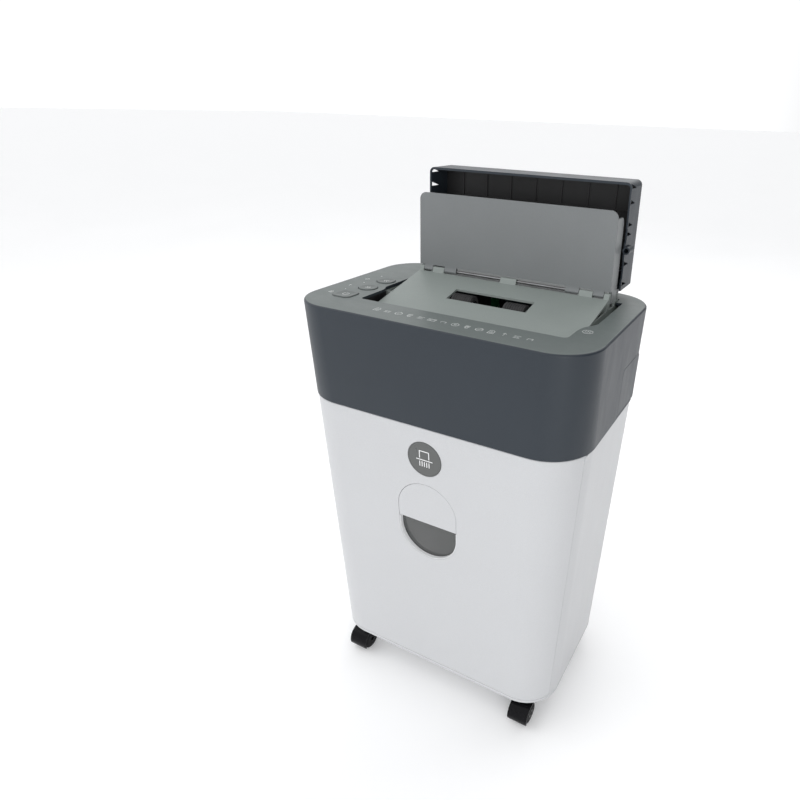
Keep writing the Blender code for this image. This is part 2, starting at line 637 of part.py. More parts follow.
def on_front(outline, proud, deep):
    """Extrudes an x-z outline between two depths that follow the slanted front face."""
    return loft([[(x, front_y(z) + depth, z) for x, z in outline] for depth in (-proud, deep)])


node("window_panel", on_front(stadium(-0.0004, low=CHORD + 0.0005), 0.0, 0.0022), WHITE)
node("window_lens", prism(stadium(-0.0004, high=CHORD - 0.0009), -0.1060, -0.1035, "Y"), SMOKE)
node("front_badge", on_front(circle(0.0, 0.3790, 0.0215, 40), 0.0004, 0.0005), ACCENT)
tub_rings = []
for z, width, inset in (
    (0.0772, 0.3040 - 0.0040, 0.0),
    (0.3990, 0.3200 - 0.0040, 0.0),
    (0.3990, 0.3200, -0.0020),
    (0.0740, 0.3040, -0.0020),
):
    tub_rings.append(flat(rounded(width, 0.1900 - 2 * inset, 0.0380 - inset, 6, (0.0, 0.0030)), z))
node("bin_tub", loft(tub_rings), BLACK, 32)

# Casters: hood on a swivelling stem, two wheels on one axle
for name, x, y in (
    ("front_left", -CASTER_X, -CASTER_Y),
    ("front_right", CASTER_X, -CASTER_Y),
    ("rear_left", -CASTER_X, CASTER_Y),
    ("rear_right", CASTER_X, CASTER_Y),
):
    wheel_y = y - TRAIL
    hood_ring = arc(wheel_y, WHEEL_R, 0.0176, 15, 200, 12) + arc(wheel_y, WHEEL_R, 0.0157, 200, 15, 12)
    hood = node("caster_hood_" + name, prism(hood_ring, x - 0.0138, x + 0.0138, "X"), BLACK, 32)
    web = arc(wheel_y, WHEEL_R, 0.0166, 15, 200, 10) + arc(wheel_y, WHEEL_R, 0.0055, 210, 365, 6)
    stem = [(0.0220, 0.0075), (0.0405, 0.0085), (0.0410, 0.0115)]
    stem += [(0.0430, 0.0115), (0.0430, 0.0040), (0.0670, 0.0040)]
    join(hood, prism(web, x - 0.0026, x + 0.0026, "X"), turned(stem, (x, y), 16, "Z"))
    cut(
        hood,
        prism(circle(wheel_y, WHEEL_R, 0.0028, 12), x - 0.0300, x + 0.0300, "X"),
        *[
            prism(circle(wheel_y, WHEEL_R, 0.0153, 24), low, high, "X")
            for low, high in ((x - 0.0200, x - 0.0027), (x + 0.0027, x + 0.0200))
        ],
    )
    centred(hood, (x, y, 0.0))
    wheel = [(-0.0133, 0.0127), (-0.0121, WHEEL_R), (-0.0042, WHEEL_R), (-0.0032, 0.0137), (-0.0032, 0.0025)]
    profile = [(x + a, r) for a, r in wheel] + [(x - a, r) for a, r in reversed(wheel)]
    obj = node("caster_wheels_" + name, turned(profile, (wheel_y, WHEEL_R), 20), RUBBER, 30)
    centred(obj, (x, wheel_y, WHEEL_R))
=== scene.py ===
"""Looks for the paper shredder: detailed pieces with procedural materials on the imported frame, a plain
floor, lights and the camera."""

import math

import bmesh
import bpy
from mathutils import Matrix, Vector


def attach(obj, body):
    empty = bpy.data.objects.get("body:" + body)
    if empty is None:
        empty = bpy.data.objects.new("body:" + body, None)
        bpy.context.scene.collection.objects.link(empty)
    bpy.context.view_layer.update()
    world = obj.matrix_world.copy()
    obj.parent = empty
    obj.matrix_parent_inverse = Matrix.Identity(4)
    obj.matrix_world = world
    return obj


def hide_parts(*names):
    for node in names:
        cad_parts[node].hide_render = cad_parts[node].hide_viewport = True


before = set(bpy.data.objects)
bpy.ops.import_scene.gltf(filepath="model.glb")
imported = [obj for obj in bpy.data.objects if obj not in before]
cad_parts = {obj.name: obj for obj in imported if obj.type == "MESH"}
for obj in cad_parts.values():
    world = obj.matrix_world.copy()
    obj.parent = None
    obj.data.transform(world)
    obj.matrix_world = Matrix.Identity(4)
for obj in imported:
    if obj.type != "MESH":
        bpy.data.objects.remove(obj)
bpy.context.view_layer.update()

# Sizes shared with the CAD model, in metres
RIM = 0.529
SEAM = 0.418
BASE = 0.044
HEAD_TOP = (0.345, 0.2306, 0.046)
HEAD_LOW = (0.346, 0.2314, 0.053)
BODY_TOP = (0.344, 0.2296, 0.052)
BODY_LOW = (0.3323, 0.2153, 0.048)
WALL, SKIN = 0.003, 0.0025
FRONT_SPLIT = -0.08
CORNER_STEPS = 20
CREASE = (0.0485, 0.0125)
LID_AXIS = (0.0775, 0.0045)
LID_MIDDLE, LID_LOW, LID_HIGH = 0.016, 0.013, 0.123
LID_FRONT, LID_BACK = 0.0738, 0.114
PANEL_LOW, PANEL_HIGH = 0.0168, 0.0985
ROLLER = (0.0022, -0.0105)
CUT_Z = 0.467
FRONT_Y, REAR_Y, IDLER_Y, MOTOR_Y = -0.066, -0.034, 0.009, 0.042
GEAR_LOW, GEAR_HIGH = 0.1482, 0.1578
BUTTONS = {
    "power_button": (-0.132, -0.064, "power_key"),
    "forward_button": (-0.128, -0.029, "forward_key"),
    "reverse_button": (-0.128, 0.006, "reverse_key"),
}
CHORD, BADGE_Z, LENS_FRONT = 0.2895, 0.379, -0.106
CASTER_X, CASTER_Y, TRAIL, WHEEL_R = 0.131, 0.081, 0.012, 0.0146


# Materials --------------------


def set_range(node, *limits):
    """Gives a Map Range node its two input limits and its two output limits."""
    for name, limit in zip(("From Min", "From Max", "To Min", "To Max"), limits):
        node.inputs[name].default_value = limit


class Shader:
    """A Principled material with a few helpers for its node tree."""

    def __init__(self, name):
        self.material = bpy.data.materials.new(name)
        self.material.use_nodes = True
        self.nodes = self.material.node_tree.nodes
        self.links = self.material.node_tree.links
        self.bsdf = self.nodes["Principled BSDF"]
        self.place = self.nodes.new("ShaderNodeTexCoord").outputs["Object"]

    def set(self, **values):
        for name, value in values.items():
            self.bsdf.inputs[name.replace("_", " ")].default_value = value

    def stretched(self, scale):
        mapping = self.nodes.new("ShaderNodeMapping")
        mapping.inputs["Scale"].default_value = scale
        self.links.new(self.place, mapping.inputs["Vector"])
        return mapping.outputs["Vector"]

    def noise(self, scale, detail=3.0, rough=0.5, where=None):
        node = self.nodes.new("ShaderNodeTexNoise")
        node.inputs["Scale"].default_value = scale
        node.inputs["Detail"].default_value = detail
        node.inputs["Roughness"].default_value = rough
        self.links.new(where or self.place, node.inputs["Vector"])
        return node.outputs["Fac"]

    def cells(self, scale, where=None):
        node = self.nodes.new("ShaderNodeTexVoronoi")
        node.inputs["Scale"].default_value = scale
        self.links.new(where or self.place, node.inputs["Vector"])
        return node.outputs["Distance"]

    def ramp(self, value, stops):
        node = self.nodes.new("ShaderNodeValToRGB")
        ramp = node.color_ramp
        while len(ramp.elements) < len(stops):
            ramp.elements.new(0.5)
        for element, (place, colour) in zip(ramp.elements, stops):
            element.position = place
            element.color = (*colour, 1.0)
        self.links.new(value, node.inputs["Fac"])
        return node.outputs["Color"]

    def spread(self, value, low, high, out_low, out_high):
        node = self.nodes.new("ShaderNodeMapRange")
        set_range(node, low, high, out_low, out_high)
        self.links.new(value, node.inputs["Value"])
        return node.outputs["Result"]

    def mix(self, factor, first, second, kind="MIX"):
        node = self.nodes.new("ShaderNodeMix")
        node.data_type = "RGBA"
        node.blend_type = kind
        for socket, value in ((node.inputs[0], factor), (node.inputs[6], first), (node.inputs[7], second)):
            if isinstance(value, (int, float)):
                socket.default_value = value
            elif isinstance(value, tuple):
                socket.default_value = (*value, 1.0)
            else:
                self.links.new(value, socket)
        return node.outputs[2]

    def colour(self, output):
        self.links.new(output, self.bsdf.inputs["Base Color"])

    def rough(self, output):
        self.links.new(output, self.bsdf.inputs["Roughness"])

    def bump(self, *layers):
        """Stacks (height, strength, distance) bumps, coarsest first."""
        last = None
        for height, strength, distance in layers:
            node = self.nodes.new("ShaderNodeBump")
            node.inputs["Strength"].default_value = strength
            node.inputs["Distance"].default_value = distance
            self.links.new(height, node.inputs["Height"])
            if last:
                self.links.new(last, node.inputs["Normal"])
            last = node.outputs["Normal"]
        self.links.new(last, self.bsdf.inputs["Normal"])


def shade(colour, factor):
    return tuple(min(1.0, c * factor) for c in colour)


def plastic(name, colour, rough=0.42, grain=2600.0, depth=0.00003, vary=0.05, specular=0.5, scuff=0.3):
    """Moulded plastic: spark-eroded grain, slow mottling, and faint rubbed scuffs that shine a little."""
    s = Shader(name)
    slow = s.noise(7.0, 4.0, 0.55)
    tone = s.ramp(slow, ((0.3, shade(colour, 1 - vary)), (0.7, shade(colour, 1 + vary))))
    speck = s.spread(s.noise(1400.0, 2.0), 0.35, 0.65, 0.0, 1.0)
    s.colour(s.mix(speck, tone, s.mix(1.0, tone, (0.94, 0.94, 0.94), "MULTIPLY")))
    marks = s.noise(38.0, 6.0, 0.7, s.stretched((1.0, 1.6, 0.35)))
    s.rough(s.spread(marks, 0.3, 0.8, rough + 0.03 + 0.05 * scuff, rough - 0.02 - 0.15 * scuff))
    s.set(Specular_IOR_Level=specular)
    s.bump(
        (s.noise(55.0, 2.0), 0.04, 0.0006),
        (s.cells(grain), 0.35, depth),
        (s.noise(grain * 1.7, 2.0), 0.3, depth),
    )
    return s.material


def metal(name, colour, rough=0.32, across=(4.0, 1.0, 1.0), scale=260.0, stain=None):
    """Rolled or turned steel: fine directional lines with cloudy tarnish."""
    s = Shader(name)
    lines = s.noise(scale, 5.0, 0.75, s.stretched(across))
    cloud = s.noise(22.0, 5.0, 0.6)
    tone = s.ramp(lines, ((0.3, shade(colour, 0.82)), (0.7, shade(colour, 1.12))))
    s.colour(s.mix(s.spread(cloud, 0.4, 0.72, 0.0, 0.55), tone, stain or shade(colour, 0.6)))
    s.rough(s.spread(cloud, 0.3, 0.7, rough - 0.06, rough + 0.14))
    s.set(Metallic=1.0)
    s.bump((lines, 0.18, 0.00005), (s.noise(900.0, 3.0), 0.1, 0.00004))
    return s.material


def rubber(name, colour, rough=0.72, dusty=0.5, specular=0.5):
    s = Shader(name)
    dust = s.spread(s.noise(60.0, 6.0, 0.7), 0.52, 0.78, 0.0, dusty)
    s.colour(s.mix(dust, colour, (0.09, 0.087, 0.082)))
    s.set(Specular_IOR_Level=specular)
    s.rough(s.spread(s.noise(120.0, 4.0), 0.3, 0.7, rough - 0.12, rough + 0.12))
    s.bump((s.noise(260.0, 4.0), 0.25, 0.0001), (s.cells(3200.0), 0.3, 0.00004))
    return s.material


def circuit(name):
    """Green board: solder mask over copper tracks, with bare pads."""
    s = Shader(name)
    tracks = s.nodes.new("ShaderNodeTexBrick")
    tracks.inputs["Scale"].default_value = 180.0
    tracks.inputs["Mortar Size"].default_value = 0.06
    tracks.inputs["Color1"].default_value = (0.01, 0.105, 0.04, 1.0)
    tracks.inputs["Color2"].default_value = (0.012, 0.125, 0.05, 1.0)
    tracks.inputs["Mortar"].default_value = (0.035, 0.22, 0.085, 1.0)
    s.links.new(s.place, tracks.inputs["Vector"])
    pads = s.ramp(s.cells(240.0), ((0.1, (1.0, 1.0, 1.0)), (0.14, (0.0, 0.0, 0.0))))
    s.colour(s.mix(pads, tracks.outputs["Color"], (0.62, 0.6, 0.52)))
    s.rough(s.spread(s.noise(90.0), 0.3, 0.7, 0.25, 0.42))
    s.bump((tracks.outputs["Fac"], 0.3, 0.00006), (s.noise(700.0), 0.1, 0.00003))
    return s.material


def smoked(name):
    """Smoke-tinted clear plastic, glossy with faint moulding waves and fine rubbing."""
    s = Shader(name)
    s.colour(s.ramp(s.noise(18.0, 3.0), ((0.3, (0.172, 0.181, 0.177)), (0.7, (0.219, 0.223, 0.223)))))
    s.rough(s.spread(s.noise(80.0, 6.0, 0.7, s.stretched((1.0, 1.0, 0.3))), 0.4, 0.75, 0.03, 0.11))
    s.set(Transmission_Weight=0.72, IOR=1.49, Coat_Weight=0.35, Coat_Roughness=0.04)
    s.bump((s.noise(14.0, 2.0), 0.05, 0.0008), (s.noise(1200.0, 2.0), 0.03, 0.00002))
    return s.material


def ink(name, colour, rough=0.5):
    """Pad-printed ink: slightly uneven cover."""
    s = Shader(name)
    cover = s.spread(s.noise(2600.0, 3.0), 0.42, 0.62, 0.72, 1.0)
    s.colour(s.mix(cover, shade(colour, 0.55), colour))
    s.rough(s.spread(s.noise(900.0), 0.3, 0.7, rough - 0.06, rough + 0.1))
    s.bump((s.noise(2200.0), 0.2, 0.00002))
    return s.material


HEAD = plastic("head_slate", (0.0225, 0.03, 0.0395), 0.42, depth=0.00004, specular=0.38)
# Top faces of the one slate head in a lighter copy of its plastic: painted top light, not a second colour.
SLATE_TOP_PAINTED_LIGHT = plastic("slate_top_painted_light", (0.108, 0.128, 0.124), 0.42, depth=0.00004, specular=0.42)
# Feed tray in a lighter copy of the head's slate plastic: painted light on the up-facing tray.
FEEDER_SLATE_PAINTED_LIGHT = plastic("feeder_slate_painted_light", (0.245, 0.275, 0.262), 0.46, depth=0.00004)
# Sheet panel in a lighter copy of the head's slate plastic: painted light on the raised panel.
PANEL_SLATE_PAINTED_LIGHT = plastic("panel_slate_painted_light", (0.193, 0.204, 0.208), 0.4, depth=0.00003)
KEYS = plastic("key_grey", (0.088, 0.103, 0.1), 0.42, 3200.0, 0.00002)
WHITE = plastic("cabinet_white", (0.54, 0.547, 0.56), 0.32, 2200.0, 0.00002, 0.012, 0.5, 0.1)
WHITE_TRIM = plastic("trim_white", (0.54, 0.547, 0.56), 0.36, 2600.0, 0.00002, 0.012, 0.5, 0.1)
# Brighter copy of the cabinet white for the window's recess lip: painted highlight on the up-facing wall.
LIP_WHITE_PAINTED_HIGHLIGHT = plastic("lip_white_painted_highlight", (0.86, 0.866, 0.876), 0.24, 2600.0, 0.00001, 0.012, 0.5, 0.1)
BLACK = plastic("black_moulding", (0.016, 0.016, 0.017), 0.46, 2400.0, 0.00004, 0.15)
GLOSS_BLACK = plastic("caster_black", (0.004, 0.004, 0.005), 0.26, 1800.0, 0.00002, 0.15, 0.12, 0.5)
TUB = plastic("tub_dark_grey", (0.04, 0.041, 0.043), 0.5, 1800.0, 0.00005, 0.08)
NYLON = plastic("gear_nylon_looks", (0.6, 0.575, 0.49), 0.42, 2600.0, 0.00002, 0.03)
BADGE = plastic("badge_grey_looks", (0.102, 0.106, 0.104), 0.3, 3000.0, 0.00001, 0.04)
RUBBER = rubber("roller_rubber", (0.022, 0.022, 0.023))
TYRE = rubber("caster_tread", (0.01, 0.01, 0.011), 0.6, 0.12, 0.15)
STEEL = metal("rolled_steel", (0.56, 0.57, 0.58))
TURNED = metal("turned_steel", (0.5, 0.505, 0.515), 0.28, (1.0, 9.0, 9.0), 300.0)
CUTTER = metal("cutter_steel", (0.3, 0.305, 0.315), 0.3, (9.0, 1.0, 1.0), 240.0, (0.1, 0.085, 0.07))
ZINC = metal("motor_zinc", (0.46, 0.47, 0.49), 0.38, (7.0, 1.0, 1.0), 180.0)
GREEN = circuit("solder_mask_green")
SMOKE = smoked("smoked_clear")
WHITE_INK = ink("white_ink", (0.7, 0.72, 0.71))
PALE_MARK = ink("pale_mark", (0.84, 0.845, 0.85), 0.35)


# Mesh helpers --------------------


def mesh_from(bm, name="shape"):
    bmesh.ops.recalc_face_normals(bm, faces=bm.faces)
    mesh = bpy.data.meshes.new(name)
    bm.to_mesh(mesh)
    bm.free()
    return mesh


def add(name, mesh):
    obj = bpy.data.objects.new(name, mesh)
    bpy.context.scene.collection.objects.link(obj)
    return obj


def rounded(width, depth, radius, steps=CORNER_STEPS, middle=(0.0, 0.0)):
    points = []
    for quarter, (sx, sy) in enumerate(((1, 1), (-1, 1), (-1, -1), (1, -1))):
        cx = middle[0] + sx * (width / 2 - radius)
        cy = middle[1] + sy * (depth / 2 - radius)
        for i in range(steps + 1):
            angle = math.pi / 2 * (quarter + i / steps)
            points.append((cx + radius * math.cos(angle), cy + radius * math.sin(angle)))
    return points


def arc(cx, cy, radius, start, end, steps):
    angles = [math.radians(start + (end - start) * i / steps) for i in range(steps + 1)]
    return [(cx + radius * math.cos(a), cy + radius * math.sin(a)) for a in angles]


def circle(cx, cy, radius, steps=48):
    return arc(cx, cy, radius, 0, 360, steps)[:-1]


def loft(rings, closed=False):
    bm = bmesh.new()
    rows = [[bm.verts.new(p) for p in ring] for ring in rings]
    count = len(rows[0])
    pairs = list(zip(rows, rows[1:]))
    if closed:
        pairs.append((rows[-1], rows[0]))
    else:
        bm.faces.new(list(reversed(rows[0])))
        bm.faces.new(rows[-1])
    for low, high in pairs:
        for i in range(count):
            j = (i + 1) % count
            bm.faces.new((low[i], low[j], high[j], high[i]))
    return mesh_from(bm)


def flat(points, z):
    return [(x, y, z) for x, y in points]


def prism(points, start, end, axis):
    if axis == "X":
        rings = [[(at, a, b) for a, b in points] for at in (start, end)]
    elif axis == "Y":
        rings = [[(a, at, b) for a, b in points] for at in (start, end)]
    else:
        rings = [[(a, b, at) for a, b in points] for at in (start, end)]
    return loft(rings)


def box(x0, x1, y0, y1, z0, z1):
    return prism([(x0, y0), (x1, y0), (x1, y1), (x0, y1)], z0, z1, "Z")


def turned(profile, centre, steps=40, axis="X", closed=False):
    rings = []
    for place, radius in profile:
        ring = circle(centre[0], centre[1], radius, steps)
        rings.append([(place, a, b) if axis == "X" else (a, b, place) for a, b in ring])
    return loft(rings, closed)


def rim(points):
    return [(y, RIM + z) for y, z in points]


def blend(low, high, t):
    return tuple(a + (b - a) * t for a, b in zip(low, high))


def body_ring(z, inset=0.0):
    width, depth, radius = blend(BODY_LOW, BODY_TOP, (z - BASE) / (SEAM - BASE))
    return flat(rounded(width - 2 * inset, depth - 2 * inset, radius - inset), z)


def head_ring(z, inset=0.0):
    width, depth, radius = blend(HEAD_LOW, HEAD_TOP, (z - SEAM) / (RIM - SEAM))
    return flat(rounded(width - 2 * inset, depth - 2 * inset, radius - inset), z)


def front_y(z):
    """Outer face of the cabinet's front at a height."""
    slant = (BODY_TOP[1] - BODY_LOW[1]) / 2 / (SEAM - BASE)
    return -(BODY_LOW[1] / 2 + slant * (z - BASE))


def on_front(outline, proud, deep):
    return loft([[(x, front_y(z) + depth, z) for x, z in outline] for depth in (-proud, deep)])


def apply_modifiers(obj):
    graph = bpy.context.evaluated_depsgraph_get()
    mesh = bpy.data.meshes.new_from_object(obj.evaluated_get(graph), depsgraph=graph)
    obj.modifiers.clear()
    obj.data = mesh
    return obj


def combine(obj, meshes, operation):
    """Boolean of an object with loose meshes, applied at once."""
    helpers = []
    for mesh in meshes:
        helper = add("helper", mesh)
        helpers.append(helper)
        step = obj.modifiers.new("step", "BOOLEAN")
        step.operation = operation
        step.solver = "EXACT"
        step.object = helper
    apply_modifiers(obj)
    for helper in helpers:
        bpy.data.objects.remove(helper, do_unlink=True)
    return obj


def cut(obj, *meshes):
    return combine(obj, meshes, "DIFFERENCE")


def join(obj, *meshes):
    return combine(obj, meshes, "UNION")


def soften(obj, width=0.0004, segments=2, angle=34):
    """Rounds the hard edges a little, then shades smoothly with the flat faces kept flat."""
    if width:
        bevel = obj.modifiers.new("edge", "BEVEL")
        bevel.width = width
        bevel.segments = segments
        bevel.limit_method = "ANGLE"
        bevel.angle_limit = math.radians(angle)
        bevel.use_clamp_overlap = True
        bevel.harden_normals = False
        apply_modifiers(obj)
    for face in obj.data.polygons:
        face.use_smooth = True
    obj.data.set_sharp_from_angle(angle=math.radians(angle))
    weigh = obj.modifiers.new("weigh", "WEIGHTED_NORMAL")
    weigh.keep_sharp = True
    weigh.weight = 80
    return apply_modifiers(obj)


def piece(name, mesh, stuff, body="housing", replaces=(), edge=0.0004, segments=2, angle=34, slot=None):
    """One finished piece: softened, coloured, on its body, and standing for the CAD nodes it replaces."""
    obj = mesh if isinstance(mesh, bpy.types.Object) else add(name, mesh)
    obj.name = name
    soften(obj, edge, segments, angle)
    obj.data.materials.clear()
    obj.data.materials.append(stuff)
    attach(obj, body)
    if replaces:
        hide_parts(*replaces)
    return obj


def stand_in(node, mesh, stuff, body="housing", **finish):
    """A detailed piece in the place of one CAD node."""
    return piece(node + "_looks", mesh, stuff, body, (node,), **finish)


def refined(node, stuff, body="housing", edge=0.0003):
    """A softened copy of a CAD node: its triangles merged back into faces and its edges rounded."""
    bm = bmesh.new()
    bm.from_mesh(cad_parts[node].data)
    bmesh.ops.remove_doubles(bm, verts=bm.verts, dist=1e-6)
    bmesh.ops.dissolve_limit(bm, angle_limit=math.radians(0.6), verts=bm.verts, edges=bm.edges)
    return stand_in(node, add(node + "_looks", mesh_from(bm)), stuff, body, edge=edge)


def strokes(paths, width, z0, z1):
    """Thin printed lines: each path is a list of points, drawn as one strip of constant width."""
    bm = bmesh.new()
    for path in paths:
        closed = path[0] == path[-1]
        points = [Vector(p) for p in (path[:-1] if closed else path)]
        count = len(points)
        sides = []
        for i, p in enumerate(points):
            before = points[i - 1] if closed or i else p
            after = points[(i + 1) % count] if closed or i < count - 1 else p
            along = (p - before).normalized() + (after - p).normalized()
            along.normalize()
            across = Vector((-along.y, along.x)) * width / 2
            leaving = after - p if (after - p).length else p - before
            reach = 1.0 / max(0.5, abs(along.dot(leaving.normalized())))
            sides.append((p + across * reach, p - across * reach))
        rows = [[bm.verts.new((*q, z)) for q in (a, b) for z in (z0, z1)] for a, b in sides]
        pairs = list(zip(rows, rows[1:])) + ([(rows[-1], rows[0])] if closed else [])
        for a, b in pairs:
            for i, j in ((0, 1), (1, 3), (3, 2), (2, 0)):
                bm.faces.new((a[i], a[j], b[j], b[i]))
        if not closed:
            for row in (rows[0], rows[-1]):
                bm.faces.new((row[0], row[1], row[3], row[2]))
    return mesh_from(bm)


def moved(path, x, y, size):
    return [(x + px * size, y + py * size) for px, py in path]


def merged(meshes):
    bm = bmesh.new()
    for mesh in meshes:
        bm.from_mesh(mesh)
    result = bpy.data.meshes.new("merged")
    bm.to_mesh(result)
    bm.free()
    return result


# Head --------------------

FILLET = 0.0024
EDGE_HIGH, EDGE_LOW = SEAM + 0.0007, SEAM + 0.0001
top_fillet = []
for degrees in range(0, 91, 15):
    rise = FILLET * math.sin(math.radians(degrees))
    inset = FILLET - FILLET * math.cos(math.radians(degrees))
    top_fillet.append(head_ring(RIM - FILLET + rise, inset))
inner_rings = [head_ring(RIM - WALL, WALL), head_ring(EDGE_HIGH, WALL), head_ring(EDGE_LOW, WALL - 0.0005)]
outer_rings = [head_ring(EDGE_LOW, 0.0006), head_ring(EDGE_HIGH), head_ring(SEAM + 0.04)]
head = add("head_shell", loft(inner_rings + outer_rings + top_fillet))
opening = (
    arc(-0.1045, -0.064, 0.004, 180, 270, 6)
    + arc(0.1275, -0.062, 0.006, 270, 360, 8)
    + [(0.1337, -0.046), (0.1341, -0.04), (0.1348, -0.035), (0.1358, -0.0305), (0.1374, -0.0265)]
    + [(0.1395, -0.023), (0.1422, -0.019), (0.1441, -0.016), (0.1454, -0.012)]
    + [(0.1454, 0.073), (0.1378, 0.073), (0.1378, 0.088), (0.127, 0.088), (0.127, 0.072)]
    + [(-0.095, 0.072), (-0.095, 0.088), (-0.1055, 0.088), (-0.1055, 0.073), (-0.1134, 0.073)]
    + [(-0.1134, -0.013), (-0.1124, -0.0165), (-0.1107, -0.0195), (-0.1093, -0.023), (-0.1085, -0.028)]
)


def key_outline(name, grow):
    x, y, _ = BUTTONS[name]
    if name == "power_button":
        return rounded(0.024 + 2 * grow, 0.024 + 2 * grow, 0.007 + grow, 10, (x, y))
    return circle(x, y, 0.011 + grow, 44)


def panel_outline(grow):
    y0, y1, z0, z1 = 0.0105 - grow, 0.0745 + grow, RIM - 0.108 - grow, RIM - 0.0525 + grow
    return (
        [(y0, z0), (y1, z0)]
        + arc(y1 - 0.004 - grow, z1 - 0.004 - grow, 0.004 + grow, 0, 90, 5)
        + arc(y0 + 0.006 + grow, z1 - 0.006 - grow, 0.006 + grow, 90, 180, 6)
    )


posts = [prism(circle(-0.153, y, 0.003, 20), RIM - 0.0122, RIM - 0.0015, "Z") for y in (-0.045, 0.015)]
join(head, *posts)
vents = [
    prism(rounded(0.03, 0.0022, 0.001, 4, (x, RIM - 0.04 - 0.0048 * i)), 0.1, 0.13, "Y")
    for x in (-0.098, -0.06, -0.022, 0.016)
    for i in range(6)
]
cut(
    head,
    prism(opening, RIM - 0.006, RIM + 0.005, "Z"),
    *[prism(key_outline(name, 0.0007), RIM - 0.006, RIM + 0.005, "Z") for name in BUTTONS],
    box(0.0642, 0.0798, 0.1, 0.13, 0.444, 0.468),
    box(0.0922, 0.1178, 0.1, 0.13, 0.439, 0.459),
    prism(panel_outline(0.0004), 0.1712, 0.18, "X"),
    prism(panel_outline(0.0004), -0.18, -0.1712, "X"),
    *vents,
)
shell = piece("head_shell", head, HEAD, replaces=("head_casing",), edge=0.0005)
# Faces pointing up take the lighter slate: painted light on the head's top.
shell.data.materials.append(SLATE_TOP_PAINTED_LIGHT)
for face in shell.data.polygons:
    if face.normal.z > 0.97 and face.center.z > RIM - 0.0004:
        face.material_index = 1
for side, low, high in (("right", 0.1715, 0.1729), ("left", -0.1729, -0.1715)):
    stand_in("side_panel_" + side, prism(panel_outline(0.0), low, high, "X"), HEAD)
refined("chassis_plate", BLACK)
refined("slot_guide", BLACK)
shield = add("shield", box(-0.112, -0.1108, -0.069, -0.018, RIM - 0.03, RIM - 0.0034))
cut(shield, *[box(-0.113, -0.11, y, y + 0.003, RIM - 0.031, RIM - 0.026) for y in (-0.06, -0.045, -0.03)])
piece("slot_shield", shield, BLACK, edge=0.0002)

# Keys with a hidden flange, a dished top and a printed symbol
KEY_STEPS = (
    (0.0015, -0.0075),
    (0.0015, -0.0055),
    (0.0, -0.0055),
    (0.0, 0.0002),
    (-0.0003, 0.0007),
    (-0.0009, 0.001),
    (-0.0018, 0.001),
    (-0.004, 0.0007),
    (-0.007, 0.0005),
)
for name, (x, y, body) in BUTTONS.items():
    rings = [flat(key_outline(name, grow), RIM + z) for grow, z in KEY_STEPS]
    stand_in(name, loft(rings), KEYS, body, edge=0.0, angle=50)
    if name == "power_button":
        paths = [arc(x, y, 0.0036, 125, 415, 22), [(x, y + 0.001), (x, y + 0.0044)]]
    else:
        side = 1 if name == "forward_button" else -1
        paths = []
        for offset in (-0.0014, 0.0016):
            tail, tip = x + side * (offset - 0.0012), x + side * (offset + 0.0012)
            paths.append([(tail, y + 0.0026), (tip, y), (tail, y - 0.0026)])
    mark = strokes(paths, 0.00055, RIM + 0.0005, RIM + 0.00062)
    piece(name + "_symbol", mark, WHITE_INK, body, edge=0.0)

# Printed symbols on the deck
SHEET = [(-0.35, -0.5), (0.35, -0.5), (0.35, 0.25), (0.1, 0.5), (-0.35, 0.5), (-0.35, -0.5)]
CARD = [(-0.5, -0.32), (0.5, -0.32), (0.5, 0.32), (-0.5, 0.32), (-0.5, -0.32)]
RING = arc(0, 0, 0.46, 0, 360, 24)
RING[-1] = RING[0]
SMALL_RING = arc(0, 0, 0.13, 0, 360, 12)
SMALL_RING[-1] = SMALL_RING[0]
CLIP = [(0.05, -0.18), (0.05, 0.28), (-0.12, 0.28), (-0.12, -0.38)]
CLIP += [(0.22, -0.38), (0.22, 0.42), (-0.28, 0.42), (-0.28, -0.2)]
STAPLE = [(-0.3, -0.25), (-0.3, 0.2), (0.3, 0.2), (0.3, -0.25)]
SYMBOLS = {
    "sheet": [SHEET] + [[(-0.18, y), (0.18, y)] for y in (0.1, -0.1, -0.3)],
    "card": [CARD, [(-0.5, 0.1), (0.5, 0.1)], [(-0.3, -0.12), (0.0, -0.12)]],
    "disc": [RING, SMALL_RING],
    "clip": [CLIP],
    "staple": [STAPLE],
    "ban": [RING, [(-0.32, -0.32), (0.32, 0.32)]],
    "strips": [[(-0.3 + 0.2 * i, -0.45), (-0.3 + 0.2 * i, 0.0)] for i in range(4)]
    + [[(-0.42, 0.12), (0.42, 0.12)]],
    "arrow": [[(0, -0.4), (0, 0.4)], [(-0.22, 0.14), (0, 0.42), (0.22, 0.14)]],
    "lines": [[(-0.4, 0.3), (0.4, 0.3)], [(-0.4, 0.0), (0.25, 0.0)], [(-0.4, -0.3), (0.4, -0.3)]],
}
SYMBOL_ROW = "sheet strips ban clip lines card staple disc clip ban sheet arrow lines staple".split()
SYMBOL_PITCH, SYMBOL_SIZE, SMALL_SYMBOL = 0.0134, 0.0084, 0.0056
paths = []
for i, kind in enumerate(SYMBOL_ROW):
    for path in SYMBOLS[kind]:
        paths.append(moved(path, -0.069 + i * SYMBOL_PITCH, -0.09, SYMBOL_SIZE))
for i, kind in enumerate(("sheet", "arrow", "ban")):
    for path in SYMBOLS[kind]:
        paths.append(moved(path, -0.153, -0.064 + 0.033 * i, SMALL_SYMBOL))
for path in (RING, [(-0.2, -0.25), (-0.2, 0.25)], [(0.0, -0.3), (0.0, 0.3)], [(0.2, -0.25), (0.2, 0.25)]):
    paths.append(moved(path, 0.144, -0.04, 0.011))
piece("deck_symbols", strokes(paths, 0.00042, RIM - 0.0001, RIM + 0.00006), WHITE_INK, edge=0.0)
